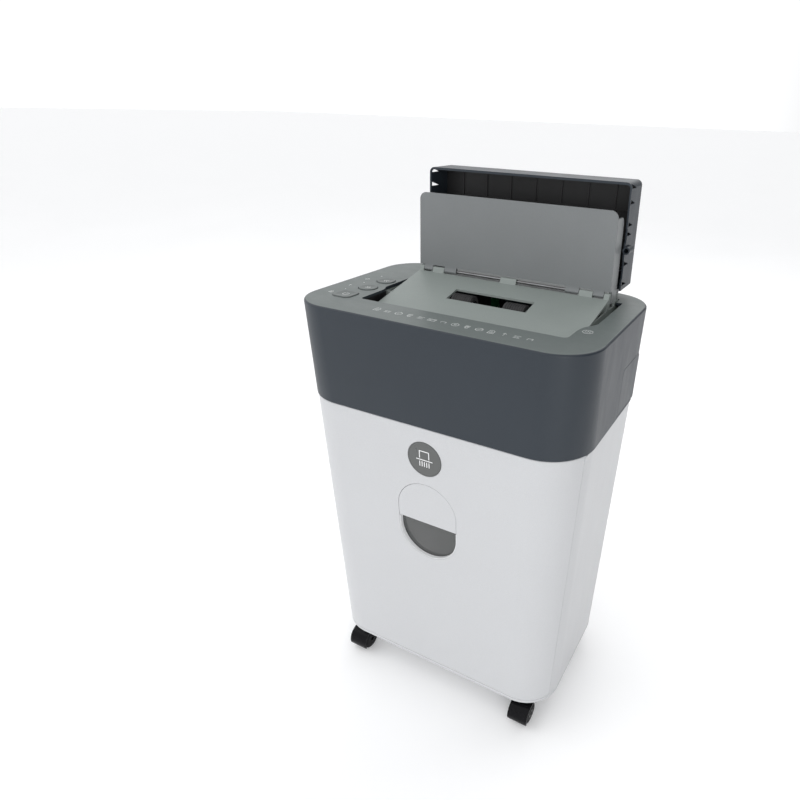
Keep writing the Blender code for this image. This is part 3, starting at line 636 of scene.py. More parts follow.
lamp_profile = [(RIM - 0.001, 0.0007), (RIM + 0.0001, 0.0007), (RIM + 0.0002, 0.0004)]
lamps = [turned(lamp_profile, (-0.1465, y), 20, "Z") for y in (-0.047, -0.013, 0.022)]
piece("status_lamps", merged(lamps), PALE_MARK, edge=0.0)

# Sheet feeder --------------------


def narrowed(half_low, half_high, low, high, z):
    return half_low + (half_high - half_low) * (z - low) / (high - low)


def corners(half_width, low, high, radius, steps):
    """Front outline in x-z: straight sides that lean in, and rounded top corners."""
    right = LID_MIDDLE + half_width(high) - radius
    left = LID_MIDDLE - half_width(high) + radius
    return (
        [(LID_MIDDLE - half_width(low), RIM + low), (LID_MIDDLE + half_width(low), RIM + low)]
        + arc(right, RIM + high - radius, radius, 0, 90, steps)
        + arc(left, RIM + high - radius, radius, 90, 180, steps)
    )


def side_wall(profile, side, half_width, thickness):
    """A (y, z) outline as a wall standing on the sloped side edge of a panel."""
    return loft(
        [
            [(LID_MIDDLE + side * (half_width(z) - inset), y, RIM + z) for y, z in profile]
            for inset in (0.0, thickness)
        ]
    )


def panel_half(z):
    return narrowed(0.1213, 0.119, PANEL_LOW, PANEL_HIGH, z)


def lid_half(z, inset=0.0):
    return narrowed(0.1248, 0.1218, LID_LOW, LID_HIGH, z) - inset


# Feed tray in the lighter slate copy: painted light.
refined("feed_tray", FEEDER_SLATE_PAINTED_LIGHT)
panel = add("panel", prism(corners(panel_half, PANEL_LOW, PANEL_HIGH, 0.008, 12), 0.0473, 0.0498, "Y"))
knuckle = rim(arc(*CREASE, 0.003, 180, 360, 18) + [(0.0498, 0.018), (0.0473, 0.018)])
wall = [(0.053, 0.017), (0.053, 0.003), (0.0705, 0.003), (0.0705, 0.083)]
wall += [(0.0698, 0.086), (0.0685, 0.088), (0.0668, 0.0895), (0.0645, 0.0905)]
wall += [(0.048, 0.0905), (0.048, 0.017)]
KNUCKLES = ((-0.0985, -0.0865), (-0.07, -0.054), (0.086, 0.102), (0.1185, 0.1305))
join(
    panel,
    *[prism(knuckle, low, high, "X") for low, high in KNUCKLES],
    *[side_wall(wall, side, panel_half, 0.002) for side in (-1, 1)],
    *[box(-0.07, 0.1, 0.049, 0.052, RIM + z, RIM + z + 0.002) for z in (0.05, 0.08)],
)
cut(panel, prism(circle(CREASE[0], RIM + CREASE[1], 0.0018, 20), -0.12, 0.15, "X"))
# Sheet panel in the lighter slate copy: painted light.
stand_in("inner_panel", panel, PANEL_SLATE_PAINTED_LIGHT, "sheet_panel", edge=0.0005, segments=3)

lid = add("lid", prism(corners(lid_half, LID_LOW, LID_HIGH, 0.006, 10), LID_FRONT, LID_BACK, "Y"))
hollow = corners(lambda z: lid_half(z, 0.0018), LID_LOW + 0.0025, LID_HIGH - 0.0025, 0.0038, 8)
cut(
    lid,
    prism(hollow, 0.06, LID_BACK - 0.0025, "Y"),
    box(LID_MIDDLE - 0.123, LID_MIDDLE + 0.123, 0.06, 0.08, RIM, RIM + 0.02),
)
arm = rim(
    arc(*LID_AXIS, 0.006, 150, 320, 18)
    + [(0.1, 0.0045), (0.105, 0.0135), (0.1125, 0.0135), (0.1125, 0.029), (0.09, 0.029)]
    + [(0.073, 0.015)]
)
BOSS = (0.1412, RIM + 0.0563)
NOTCHES = (0.117, 0.102, 0.08, 0.0705, 0.0395, 0.018)
SLITS = ((0.064, 0.078), (0.026, 0.0455))
SIDES = ((-0.113, -0.1), (0.132, 0.145))
join(
    lid,
    *[prism(arm, low, high, "X") for low, high in ((-0.1, -0.097), (0.129, 0.132))],
    prism(circle(*BOSS, 0.0039, 36), 0.0722, 0.09, "Y"),
)


def notch(z):
    return rim([(LID_FRONT + 0.0022, z + 0.0048), (LID_FRONT + 0.0022, z), (LID_FRONT + 0.019, z)])


cut(
    lid,
    prism(circle(LID_AXIS[0], RIM + LID_AXIS[1], 0.0023, 24), -0.13, 0.15, "X"),
    prism(circle(*BOSS, 0.0025, 28), 0.06, 0.088, "Y"),
    *[prism(notch(z), *side, "X") for z in NOTCHES for side in SIDES],
    *[
        box(*side, LID_FRONT - 0.01, LID_FRONT + 0.0016, RIM + low, RIM + high)
        for low, high in SLITS
        for side in SIDES
    ],
)
stand_in("rear_lid", lid, HEAD, "lid", edge=0.00035)
liner = add(
    "liner", prism(corners(lambda z: lid_half(z, 0.0021), 0.0162, 0.1202, 0.0036, 8), 0.1108, 0.1114, "Y")
)
join(
    liner,
    *[
        box(x - 0.0008, x + 0.0008, 0.1095, 0.1111, RIM + 0.017, RIM + 0.1195)
        for x in (-0.08, -0.048, -0.016, 0.016, 0.048, 0.08, 0.112)
    ],
    *[box(-0.095, 0.127, 0.1095, 0.1111, RIM + z, RIM + z + 0.0016) for z in (0.03, 0.06, 0.09)],
)
piece("lid_liner", liner, BLACK, "lid", edge=0.0002)


def grooved_pin(low, high, radius):
    """A pin with chamfered ends and a clip groove near each."""
    groove = radius - 0.0003
    profile = [(low, radius - 0.0004), (low + 0.0004, radius), (low + 0.001, radius), (low + 0.001, groove)]
    profile += [(low + 0.0015, groove), (low + 0.0015, radius)]
    return profile + [(low + high - place, r) for place, r in reversed(profile)]


def pin(name, low, high, radius, centre, stuff=TURNED):
    stand_in(name, turned(grooved_pin(low, high, radius), centre, 32), stuff, edge=0.0, slot="steel")


pin("panel_pin", -0.104, 0.1365, 0.0015, (CREASE[0], RIM + CREASE[1]), CUTTER)
pin("lid_pin_left", -0.105, -0.096, 0.002, (LID_AXIS[0], RIM + LID_AXIS[1]))
pin("lid_pin_right", 0.128, 0.1375, 0.002, (LID_AXIS[0], RIM + LID_AXIS[1]))

roller_centre = (ROLLER[0], RIM + ROLLER[1])
shaft = [(-0.103, 0.0026), (-0.1026, 0.003), (-0.03, 0.003), (-0.03, 0.0064), (-0.029, 0.0068)]
shaft += [(-0.006, 0.0068), (-0.005, 0.0064), (-0.005, 0.003), (0.035, 0.003), (0.035, 0.0064)]
shaft += [(0.036, 0.0068), (0.059, 0.0068), (0.06, 0.0064), (0.06, 0.003)]
shaft += [(0.1586, 0.003), (0.159, 0.0026)]
piece("feed_roller_shaft", turned(shaft, roller_centre, 32), TURNED, "pickup_roller", edge=0.0)
tyres = []
for low, high in ((-0.03, -0.005), (0.035, 0.06)):
    profile = [(low, 0.0069), (low, 0.0114), (low + 0.0006, 0.012)]
    steps = 8
    for i in range(steps):
        a = low + 0.0012 + (high - low - 0.0024) * i / steps
        b = low + 0.0012 + (high - low - 0.0024) * (i + 1) / steps
        profile += [(a, 0.012), (b - 0.0012, 0.012), (b - 0.001, 0.0113), (b - 0.0004, 0.0113)]
    profile += [(high - 0.0006, 0.012), (high, 0.0114), (high, 0.0069)]
    tyres.append(turned(profile, roller_centre, 48, "X", True))
piece("feed_roller_tyres", merged(tyres), RUBBER, "pickup_roller", ("feed_roller",), edge=0.0)


# Cutter unit and drive --------------------

for side in ("left", "right"):
    refined("cutter_plate_" + side, STEEL)
for name, y in (("tie_bar_front", -0.084), ("tie_bar_rear", -0.014)):
    thread = [(-0.115, 0.0026)]
    for i in range(12):
        thread += [(-0.1147 + i * 0.0007, 0.003), (-0.11435 + i * 0.0007, 0.0026)]
    bar = thread + [(-0.106, 0.003)] + [(0.025 - place, r) for place, r in reversed(thread)]
    stand_in(name, turned(bar, (y, 0.434), 28), TURNED, edge=0.0)

TOOTH = (0.0174, 0.015, 0.0152, 0.0157, 0.0163, 0.0169)
TEETH = 9


def spun_ring(x, centre, radii, count):
    """One closed ring of points round an X axis; the radii repeat round it."""
    return [
        (
            x,
            centre[0] + radii[i % len(radii)] * math.cos(2 * math.pi * i / count),
            centre[1] + radii[i % len(radii)] * math.sin(2 * math.pi * i / count),
        )
        for i in range(count)
    ]


def cutter(name, y, first, direction, body):
    """A shaft with 14 hooked discs, each turned one step on from the last."""
    teeth = TOOTH if direction > 0 else tuple(reversed(TOOTH))

    def ring(x, *radii):
        return spun_ring(x, (y, CUT_Z), radii, TEETH * len(TOOTH))

    rings = [ring(-0.115, 0.0046), ring(-0.1146, 0.005), ring(-0.1085, 0.005), ring(-0.1085, 0.009)]
    for i in range(14):
        low, high = first + i * 0.017 - 0.004, first + i * 0.017 + 0.004
        shift = i % len(TOOTH)
        hooks = teeth[shift:] + teeth[:shift]
        rings += [ring(low, 0.009), ring(low, 0.014), ring(low + 0.0005, *hooks)]
        rings += [ring(high - 0.0005, *hooks), ring(high, 0.014), ring(high, 0.009)]
    rings += [ring(0.1338, 0.009), ring(0.1338, 0.005), ring(0.1591, 0.005), ring(0.1595, 0.0046)]
    stand_in(name, loft(rings), CUTTER, body, edge=0.0, angle=30)


cutter("cutter_front", FRONT_Y, -0.1, 1, "front_cutter")
cutter("cutter_rear", REAR_Y, -0.0915, -1, "rear_cutter")

FLANKS = (-0.4, -0.26, -0.13, 0.13, 0.26, 0.4)


def gear_ring(x, centre, teeth, radii):
    points = []
    for i in range(teeth):
        for j, share in enumerate(FLANKS):
            angle = 2 * math.pi * (i + share) / teeth
            radius = radii[j % len(radii)]
            points.append((x, centre[0] + radius * math.cos(angle), centre[1] + radius * math.sin(angle)))
    return points


def tooth_radii(tip, teeth):
    module = 2 * tip / (teeth + 2)
    root = tip - 2.15 * module
    return (root, root + 1.1 * module, tip, tip, root + 1.1 * module, root)


def gear(name, tip, bore, centre, teeth, body, dished=True):
    """A moulded gear; a dished one has a thin web between its hub and its rim."""
    low, high = GEAR_LOW, GEAR_HIGH
    radii = tooth_radii(tip, teeth)
    small = tuple(r - 0.0003 for r in radii)
    hub, edge = bore + 0.0022, radii[0] - 0.0014
    side = [(low, (bore,)), (low, (hub,))]
    if dished:
        side += [(low + 0.0026, (hub + 0.0003,)), (low + 0.0026, (edge - 0.0003,)), (low, (edge,))]
    side += [(low, small), (low + 0.0003, radii)]
    far = [(low + high - x, r) for x, r in reversed(side)]
    rings = [gear_ring(x, centre, teeth, r) for x, r in side + far]
    stand_in(name, loft(rings, True), NYLON, body, edge=0.0, angle=30)


gear("gear_front", 0.01575, 0.0053, (FRONT_Y, CUT_Z), 32, "front_cutter")
gear("gear_rear", 0.01575, 0.0053, (REAR_Y, CUT_Z), 32, "rear_cutter")
gear("idler_gear", 0.02675, 0.0043, (IDLER_Y, CUT_Z), 54, "idler")
TRANSFER = (0.0043, RIM - 0.0261)
gear("transfer_gear", 0.00895, 0.0028, TRANSFER, 18, "transfer", False)
gear("roller_gear", 0.00625, 0.0033, roller_centre, 13, "pickup_roller", False)
pin("idler_pin", 0.1335, 0.1595, 0.004, (IDLER_Y, CUT_Z))
pin("transfer_pin", 0.1335, 0.1595, 0.0025, TRANSFER)
motor_centre = (MOTOR_Y, CUT_Z)


def pinion_ring(x, *radii):
    return gear_ring(x, motor_centre, 12, radii)


pinion = [pinion_ring(0.121, 0.0023), pinion_ring(0.1212, 0.0025), pinion_ring(0.148, 0.0025)]
pinion += [pinion_ring(x, *tooth_radii(0.00575, 12)) for x in (0.148, 0.158)]
pinion += [pinion_ring(0.158, 0.0025), pinion_ring(0.1593, 0.0025), pinion_ring(0.1595, 0.0023)]
stand_in("motor_pinion", loft(pinion), CUTTER, "motor_shaft", edge=0.0, angle=30)

can = [(0.0605, 0.0236), (0.0605, 0.0244), (0.0612, 0.025), (0.07, 0.025), (0.0704, 0.0246)]
can += [(0.0716, 0.0246), (0.072, 0.025), (0.118, 0.025), (0.1184, 0.0246), (0.1196, 0.0246)]
can += [(0.12, 0.025), (0.128, 0.025), (0.13, 0.0246), (0.134, 0.0235)]
motor = add("motor", turned(can, motor_centre, 64))
screw_holes = []
for angle in (0.6, 2.7, 4.8):
    hole = circle(MOTOR_Y + 0.015 * math.cos(angle), CUT_Z + 0.015 * math.sin(angle), 0.0016, 16)
    screw_holes.append(prism(hole, 0.131, 0.14, "X"))
cut(motor, prism(circle(*motor_centre, 0.003, 24), 0.115, 0.14, "X"), *screw_holes)
piece("motor_can", motor, ZINC, replaces=("motor",), edge=0.0003)
bell = [(0.04, 0.006), (0.04, 0.015), (0.0404, 0.016), (0.0404, 0.021), (0.0412, 0.0217), (0.043, 0.0234)]
bell += [(0.044, 0.024), (0.06, 0.024), (0.0603, 0.0236), (0.0603, 0.006)]
end_bell = add("bell", turned(bell, motor_centre, 64, "X", True))
air_slots = []
for side in (-1, 1):
    middle = MOTOR_Y + side * 0.015
    for low in (CUT_Z + 0.01, CUT_Z - 0.03):
        air_slots.append(box(0.045, 0.056, middle - 0.003, middle + 0.003, low, low + 0.02))
cut(end_bell, *air_slots)
piece("motor_end_bell", end_bell, BLACK, edge=0.0003)

refined("sensor_bracket", BLACK, edge=0.0002)
refined("sensor_lever", BLACK, "paper_sensor", edge=0.0001)


# Electrics --------------------


def canister(x, y, z, radius, height):
    """An electrolytic capacitor lying on a board's front side, its axis along Y."""
    profile = [(0.0, radius - 0.0004), (-0.001, radius - 0.0003), (-0.0016, radius)]
    profile += [(-height + 0.0006, radius), (-height, radius - 0.0006), (-height + 0.0002, radius - 0.0016)]
    return loft([[(px, y + place, pz) for px, pz in circle(x, z, r, 32)] for place, r in profile])


screen = add("screen", box(-0.116, 0.034, 0.1088, 0.1094, 0.458, 0.495))
join(screen, *[box(x - 0.001, x + 0.001, 0.1084, 0.109, 0.4585, 0.4945) for x in (-0.079, -0.041, -0.003)])
piece("vent_screen", screen, BLACK, edge=0.0001)

refined("control_board", GREEN, edge=0.0001)
BOARD_TOP = RIM - 0.01248
PLUNGER = [(BOARD_TOP + 0.0018, 0.0017), (BOARD_TOP + 0.0021, 0.0017), (BOARD_TOP + 0.0023, 0.0014)]
CHIPS = ((-0.148, -0.03, 0.008, 0.005), (-0.148, -0.01, 0.01, 0.007), (-0.12, -0.045, 0.004, 0.006))
LEGS_A_SIDE, LEG_HEIGHTS = 5, (BOARD_TOP, BOARD_TOP + 0.0009)
switches, chips, legs = [], [], []
for x, y, _ in BUTTONS.values():
    switches.append(box(x - 0.003, x + 0.003, y - 0.003, y + 0.003, BOARD_TOP, BOARD_TOP + 0.0017))
    switches.append(turned(PLUNGER, (x, y), 24, "Z"))
for x, y, w, d in CHIPS:
    chips.append(box(x - w / 2, x + w / 2, y - d / 2, y + d / 2, BOARD_TOP + 0.0003, BOARD_TOP + 0.0017))
    for i in range(LEGS_A_SIDE):
        for side in (-1, 1):
            leg = x - w / 2 + w * (i + 0.5) / LEGS_A_SIDE
            edge = y + side * (d / 2 + 0.0005)
            legs.append(box(leg - 0.0002, leg + 0.0002, edge - 0.0004, edge + 0.0004, *LEG_HEIGHTS))
piece("key_switches", merged(switches), BLACK, edge=0.0002)
piece("control_chips", merged(chips), BLACK, edge=0.0002)
piece("control_chip_legs", merged(legs), STEEL, edge=0.0)

refined("power_board", GREEN, edge=0.0001)
BOARD_FACE = 0.0984


def on_board(x0, x1, deep, z0, z1, lift=0.0):
    """A box on the power board's front side."""
    return box(x0, x1, BOARD_FACE - deep, BOARD_FACE - lift, z0, z1)


relays = [on_board(-0.096, -0.078, 0.015, 0.43, 0.442), on_board(-0.095, -0.08, 0.01, 0.448, 0.456)]
coils = [on_board(-0.052, -0.034, 0.02, z0, z1, 0.0001) for z0, z1 in ((0.427, 0.4298), (0.4502, 0.453))]
CANS = ((-0.066, 0.438, 0.006, 0.018), (-0.09, 0.472, 0.005, 0.012))
CANS += ((-0.07, 0.462, 0.004, 0.009), (-0.056, 0.464, 0.004, 0.009))
cans = [canister(x, BOARD_FACE, z, radius, height) for x, z, radius, height in CANS]
plugs = [on_board(x, x + 0.01, 0.008, 0.49, 0.496) for x in (-0.096, -0.08, -0.064, -0.044)]
piece("relays", merged(relays), NYLON)
piece("transformer_core", merged([on_board(-0.056, -0.03, 0.018, 0.43, 0.45, 0.002)]), ZINC)
piece("transformer_bobbin", merged(coils), BLACK)
piece("capacitors", merged(cans), BLACK, edge=0.0)
piece("board_sockets", merged(plugs), WHITE_TRIM, edge=0.0003)
cover = add("cover", box(-0.101, -0.021, 0.076, 0.0768, 0.428, 0.517))
cover_ribs = [box(x - 0.0008, x + 0.0008, 0.0752, 0.0762, 0.4285, 0.5165) for x in (-0.081, -0.061, -0.041)]
join(cover, *cover_ribs)
piece("board_cover", cover, BLACK, edge=0.0002)

interlock = add("interlock", box(-0.145, -0.125, -0.08, -0.071, 0.4243, 0.434))
lever = ((0.002, 0.0), (0.007, 0.0), (0.006, 0.0022), (0.003, 0.0022))
join(interlock, prism([(-0.08 + a, 0.4338 + b) for a, b in lever], -0.139, -0.136, "X"))
cut(interlock, *[prism(circle(x, 0.429, 0.0012, 20), -0.09, -0.06, "Y") for x in (-0.142, -0.128)])
stand_in("interlock_switch", interlock, BLACK, edge=0.0003)

refined("switch_housing", BLACK, edge=0.0004)
refined("rocker_switch", GLOSS_BLACK, "rocker")
socket = add("socket", box(0.089, 0.121, 0.1105, 0.1121, 0.436, 0.462))
hood = [(0.0925, 0.4393), (0.1175, 0.4393), (0.1175, 0.456)]
hood += [(0.1148, 0.4587), (0.0952, 0.4587), (0.0925, 0.456)]
well = [(0.0945, 0.4413), (0.1155, 0.4413), (0.1155, 0.4549)]
well += [(0.1137, 0.4567), (0.0963, 0.4567), (0.0945, 0.4549)]
join(socket, prism(hood, 0.096, 0.1154, "Y"))
cut(socket, prism(well, 0.099, 0.13, "Y"))
stand_in("mains_inlet", socket, BLACK, edge=0.0003)
blades = [box(x - 0.001, x + 0.001, 0.098, 0.114, 0.4475, 0.4515) for x in (0.099, 0.105, 0.111)]
piece("mains_inlet_blades", merged(blades), TURNED)


# Cabinet --------------------


def body_shell():
    """The white walls all round, with a small chamfer along the top and the bottom."""
    low, high, chamfer = 0.0496, 0.4175, 0.0005
    outer = [body_ring(low, chamfer), body_ring(low + chamfer)]
    outer += [body_ring(high - chamfer), body_ring(high, chamfer)]
    return loft(outer + [body_ring(high, SKIN), body_ring(low, SKIN)], True)


def wall_rib(side, y):
    """An upright rib inside a side wall, leaning with it."""
    rings = []
    for z in (0.06, 0.41):
        wall = blend(BODY_LOW, BODY_TOP, (z - BASE) / (SEAM - BASE))[0] / 2
        corners_at = ((0.001, y), (0.001, y + 0.002), (0.006, y + 0.002), (0.006, y))
        rings.append([(side * (wall - depth), at, z) for depth, at in corners_at])
    return loft(rings)


cabinet = add("cabinet_shell", body_shell())
cut(cabinet, box(-0.2, 0.2, -0.2, FRONT_SPLIT, 0.03, 0.434))
join(
    cabinet,
    box(-0.1705, 0.1705, FRONT_SPLIT, FRONT_SPLIT + 0.008, 0.4095, 0.4174),
    *[wall_rib(side, y) for side in (-1, 1) for y in (-0.06, 0.05)],
)
stand_in("cabinet", cabinet, WHITE, edge=0.0006)
base_rings = [body_ring(BASE, 0.0006), body_ring(BASE + 0.0006)]
base_rings += [body_ring(0.0485), body_ring(0.0491, 0.0006)]
base = add("base", loft(base_rings))
sockets = [(sx * CASTER_X, sy * CASTER_Y) for sx in (-1, 1) for sy in (-1, 1)]
join(base, *[prism(circle(x, y, 0.008, 32), 0.047, 0.068, "Z") for x, y in sockets])
cut(
    base,
    *[prism(circle(x, y, 0.0043, 24), 0.03, 0.08, "Z") for x, y in sockets],
    *[prism(rounded(0.05, 0.14, 0.008, 5, (x, 0.0)), 0.04, 0.0458, "Z") for x in (-0.06, 0.0, 0.06)],
)
stand_in("base_plate", base, WHITE_TRIM)
for side in ("left", "right"):
    refined("rail_" + side, BLACK, edge=0.0004)


# Pull-out bin --------------------

WINDOW_R, WINDOW_HIGH, WINDOW_LOW = 0.0395, 0.3055, 0.2775
BADGE_R = 0.0215


def stadium(grow, low=None, high=None):
    """The window outline in x-z; with low or high only the part above or below that height."""
    radius = WINDOW_R + grow
    points = arc(0, WINDOW_HIGH, radius, 0, 180, 56) + arc(0, WINDOW_LOW, radius, 180, 360, 56)
    if low is not None:
        points = [(radius, low)] + [p for p in points if p[1] > low + 1e-6] + [(-radius, low)]
    if high is not None:
        points = [(-radius, high)] + [p for p in points if p[1] < high - 1e-6] + [(radius, high)]
    return points


front = add("front", body_shell())
cut(front, box(-0.2, 0.2, FRONT_SPLIT - 0.0005, 0.2, 0.03, 0.434))
join(
    front,
    prism(stadium(0.002, high=CHORD), -0.1095, -0.0985, "Y"),
    *[box(x - 0.0015, x + 0.0015, -0.108, -0.0945, 0.094, 0.384) for x in (-0.1, 0.1)],
    box(-0.118, 0.118, -0.113, -0.096, 0.404, 0.407),
)
cut(
    front,
    prism(stadium(0.0), -0.13, -0.104, "Y"),
    prism(stadium(0.0, high=CHORD - 0.0005), -0.12, -0.09, "Y"),
    prism(circle(0.0, BADGE_Z, BADGE_R + 0.0004, 64), -0.13, -0.1123, "Y"),
)
stand_in("bin_front", front, WHITE, "bin", edge=0.0006)
stand_in("window_panel", on_front(stadium(-0.0004, low=CHORD + 0.0005), 0.0, 0.0022), WHITE, "bin")
lens = prism(stadium(-0.0004, high=CHORD - 0.0009), LENS_FRONT, LENS_FRONT + 0.0025, "Y")
stand_in("window_lens", lens, SMOKE, "bin", edge=0.0003)
# The recess lip is brighter than the cabinet white: painted highlight on the wall facing up into the light.
lip = stadium(-0.0002, high=CHORD - 0.0009) + stadium(-0.001, high=CHORD - 0.0009)[::-1]
lip_rings = [[(x, LENS_FRONT - 0.0002, z) for x, z in lip], [(x, front_y(z) + 0.0004, z) for x, z in lip]]
piece("window_lip", loft(lip_rings), LIP_WHITE_PAINTED_HIGHLIGHT, "bin", edge=0.0002)
outer, inner = stadium(-0.0011, high=CHORD - 0.0011), stadium(-0.0016, high=CHORD - 0.0021)
gasket_rings = []
for outline, depth in ((outer, 0.0004), (inner, 0.0004), (inner, 0.0), (outer, 0.0)):
    gasket_rings.append([(x, LENS_FRONT - depth, z) for x, z in outline])
piece("window_gasket", loft(gasket_rings, True), RUBBER, "bin", edge=0.0)

badge = on_front(circle(0.0, BADGE_Z, BADGE_R, 96), 0.0001, 0.0005)
stand_in("front_badge", badge, BADGE, "bin", edge=0.0002)
rim_rings = []
for depth, radius in ((0.0, BADGE_R), (0.0004, 0.0212), (0.0004, 0.0203), (0.0, 0.02)):
    rim_rings.append([(x, front_y(z) - depth, z) for x, z in circle(0.0, BADGE_Z, radius, 96)])
piece("badge_rim", loft(rim_rings, True), BADGE, "bin", edge=0.0)
marks = [[(-0.006, 0.001), (-0.006, 0.01), (0.006, 0.01), (0.006, 0.001)]]
marks += [[(-0.006 + 0.003 * i, -0.003), (-0.006 + 0.003 * i, -0.0095)] for i in range(5)]
marks += [[(-0.0105, -0.001), (0.0105, -0.001)]]
symbol = strokes(marks, 0.001, 0.0, 0.00025)
symbol.transform(Matrix.Rotation(math.radians(90), 4, "X"))
symbol.transform(Matrix.Translation((0.0, front_y(BADGE_Z) - 0.0001, BADGE_Z)))
for vertex in symbol.vertices:
    vertex.co.y += front_y(vertex.co.z) - front_y(BADGE_Z)
piece("badge_symbol", symbol, PALE_MARK, "bin", edge=0.0, slot="badge_grey")

tub = [(0.0772, 0.3, 0.0), (0.08, 0.3003, 0.0), (0.396, 0.3159, 0.0), (0.399, 0.316, 0.0)]
tub += [(0.399, 0.3194, -0.0017), (0.3985, 0.32, -0.002), (0.39, 0.3198, -0.002)]
tub += [(0.3896, 0.3188, -0.0014), (0.075, 0.3042, -0.002), (0.074, 0.3032, -0.0014)]
tub_rings = [flat(rounded(w, 0.19 - 2 * inset, 0.038 - inset, 14, (0.0, 0.003)), z) for z, w, inset in tub]
tub_mesh = add("tub", loft(tub_rings))
grooves = [(0.02 * i, 0.003 + side * 0.0985) for side in (-1, 1) for i in (-5, -3, -1, 1, 3, 5)]
cut(tub_mesh, *[prism(circle(x, y, 0.0022, 16), 0.085, 0.385, "Z") for x, y in grooves])
stand_in("bin_tub", tub_mesh, TUB, "bin")


# Casters --------------------


WHEEL_HALF = [(-0.0133, 0.006), (-0.0133, 0.011), (-0.0131, 0.0127), (-0.0121, 0.0143), (-0.0115, WHEEL_R)]
WHEEL_HALF += [(-0.009, WHEEL_R), (-0.0088, 0.0143), (-0.0084, 0.0143), (-0.0082, WHEEL_R)]
WHEEL_HALF += [(-0.0064, WHEEL_R), (-0.0062, 0.0143), (-0.0058, 0.0143), (-0.0056, WHEEL_R)]
WHEEL_HALF += [(-0.0042, WHEEL_R), (-0.0034, 0.0142), (-0.0032, 0.0137), (-0.0032, 0.0118)]
WHEEL_HALF += [(-0.0038, 0.0112), (-0.0038, 0.0048), (-0.0032, 0.0042), (-0.0032, 0.0025)]
WHEEL_CAP = ((0.0133, 0.0058), (0.01335, 0.0056), (0.01335, 0.003), (0.0131, 0.002))
STEM = [(0.022, 0.0075), (0.0395, 0.0084), (0.0405, 0.0088), (0.041, 0.0115)]
STEM += [(0.043, 0.0115), (0.043, 0.004), (0.066, 0.004), (0.067, 0.0032)]


def caster(name, x, y):
    """A hood with its stem, twin wheels on their axle, and the wheels' caps."""
    wheel = (y - TRAIL, WHEEL_R)
    hood_ring = arc(*wheel, 0.0176, 15, 200, 36) + arc(*wheel, 0.0157, 200, 15, 36)
    hood = add("hood", prism(hood_ring, x - 0.0138, x + 0.0138, "X"))
    web = arc(*wheel, 0.0166, 15, 200, 30) + arc(*wheel, 0.0055, 210, 365, 16)
    join(hood, prism(web, x - 0.0026, x + 0.0026, "X"), turned(STEM, (x, y), 36, "Z"))
    wells = [(x - 0.02, x - 0.0027), (x + 0.0027, x + 0.02)]
    cut(
        hood,
        prism(circle(*wheel, 0.0028, 24), x - 0.03, x + 0.03, "X"),
        *[prism(circle(*wheel, 0.0153, 48), low, high, "X") for low, high in wells],
    )
    stand_in("caster_hood_" + name, hood, GLOSS_BLACK, "caster_" + name, segments=3)
    profile = [(x + a, r) for a, r in WHEEL_HALF] + [(x - a, r) for a, r in reversed(WHEEL_HALF)]
    stand_in("caster_wheels_" + name, turned(profile, wheel, 56), TYRE, "wheels_" + name, edge=0.0)
    caps = [turned([(x + side * a, r) for a, r in WHEEL_CAP], wheel, 36) for side in (-1, 1)]
    piece("wheel_caps_" + name, merged(caps), GLOSS_BLACK, "wheels_" + name, edge=0.0, slot="rubber")


for end, sy in (("front", -1), ("rear", 1)):
    for side, sx in (("left", -1), ("right", 1)):
        caster(end + "_" + side, sx * CASTER_X, sy * CASTER_Y)


# Studio --------------------

floor_shader = Shader("studio_floor")
pale = ((0.3, (0.925, 0.925, 0.93)), (0.7, (0.95, 0.95, 0.955)))
floor_shader.colour(floor_shader.ramp(floor_shader.noise(2.5, 3.0), pale))
floor_shader.rough(floor_shader.spread(floor_shader.noise(60.0), 0.3, 0.7, 0.65, 0.8))
floor_shader.bump((floor_shader.noise(900.0), 0.05, 0.0001))
floor_shader.set(Emission_Color=(1.0, 1.0, 1.0, 1.0), Emission_Strength=0.08)
HALF = 40.0
floor_corners = [(-HALF, -HALF), (HALF, -HALF), (HALF, HALF), (-HALF, HALF)]
bm = bmesh.new()
bm.faces.new([bm.verts.new((x, y, 0.0)) for x, y in floor_corners])
floor = add("studio_floor", mesh_from(bm))
floor.data.materials.append(floor_shader.material)

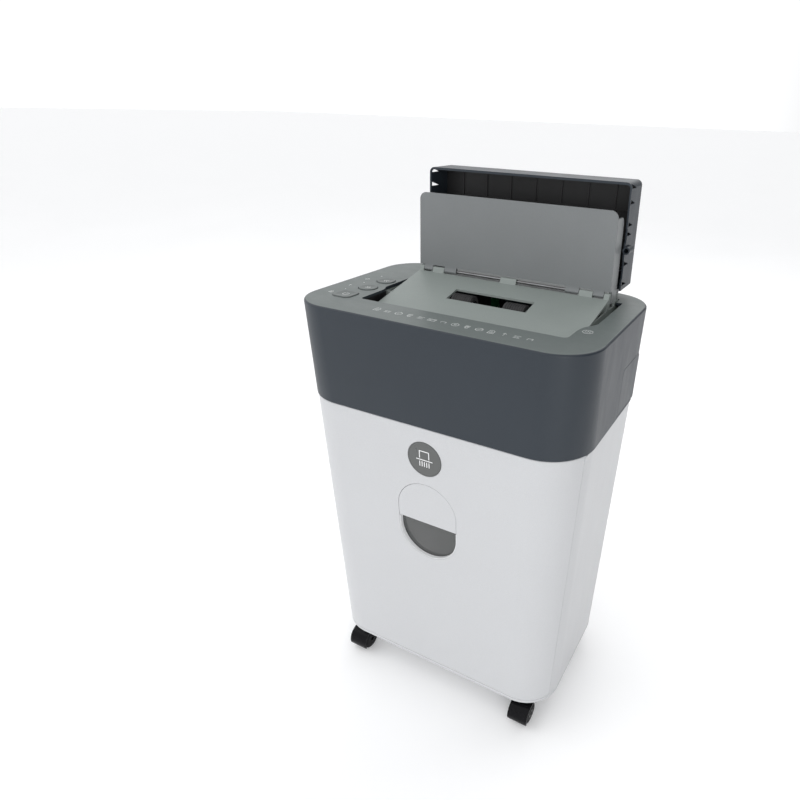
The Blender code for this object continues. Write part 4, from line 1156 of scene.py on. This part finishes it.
# White room, a little darker at the back right
world = bpy.data.worlds.new("studio_world")
world.use_nodes = True
nodes, links = world.node_tree.nodes, world.node_tree.links
toward = nodes.new("ShaderNodeVectorMath")
toward.operation = "DOT_PRODUCT"
toward.inputs[1].default_value = (0.92, 0.39, 0.0)
links.new(nodes.new("ShaderNodeTexCoord").outputs["Generated"], toward.inputs[0])
level = nodes.new("ShaderNodeMapRange")
set_range(level, 0.28, 0.85, 1.1, 0.0)
links.new(toward.outputs["Value"], level.inputs["Value"])
links.new(level.outputs["Result"], nodes["Background"].inputs["Strength"])
nodes["Background"].inputs["Color"].default_value = (0.985, 0.992, 1.0, 1.0)
bpy.context.scene.world = world


def area(name, place, target, size, power):
    light = bpy.data.lights.new(name, "AREA")
    light.shape = "RECTANGLE"
    light.size, light.size_y = size
    light.energy = power
    lamp = bpy.data.objects.new(name, light)
    lamp.location = place
    lamp.rotation_euler = (Vector(target) - Vector(place)).to_track_quat("-Z", "Y").to_euler()
    bpy.context.scene.collection.objects.link(lamp)


area("top_back", (0.3, 1.6, 2.2), (0.0, 0.0, 0.4), (2.4, 1.4), 14.0)
area("top_left", (-1.6, -0.8, 2.2), (0.0, 0.0, 0.3), (1.8, 1.4), 7.0)
area("front_right", (1.5, -1.9, 0.8), (0.0, 0.0, 0.3), (0.8, 1.2), 12.0)

# Camera at the photograph's viewing angle
AZIMUTH, ELEVATION, ROLL = (math.radians(a) for a in (26.7873, 30.0135, 1.8241))
EYE = (0.305729, -0.569665, RIM + 0.185062)
outward = Vector((math.sin(AZIMUTH), -math.cos(AZIMUTH), 0.0)) * math.cos(ELEVATION)
outward.z = math.sin(ELEVATION)
sideways = (-outward).cross(Vector((0.0, 0.0, 1.0))).normalized()
upright = sideways.cross(-outward)
across = sideways * math.cos(ROLL) + upright * math.sin(ROLL)
above = upright * math.cos(ROLL) - sideways * math.sin(ROLL)
camera_data = bpy.data.cameras.new("camera")
camera_data.sensor_width = 36.0
camera_data.lens = 26.29
camera_data.shift_x, camera_data.shift_y = -0.10826, 0.05664
camera_data.clip_start, camera_data.clip_end = 0.02, 50.0
camera = bpy.data.objects.new("camera", camera_data)
camera.matrix_world = Matrix.Translation(EYE) @ Matrix((across, above, outward)).transposed().to_4x4()
bpy.context.scene.collection.objects.link(camera)
bpy.context.scene.camera = camera
bpy.context.scene.view_settings.view_transform = "Standard"
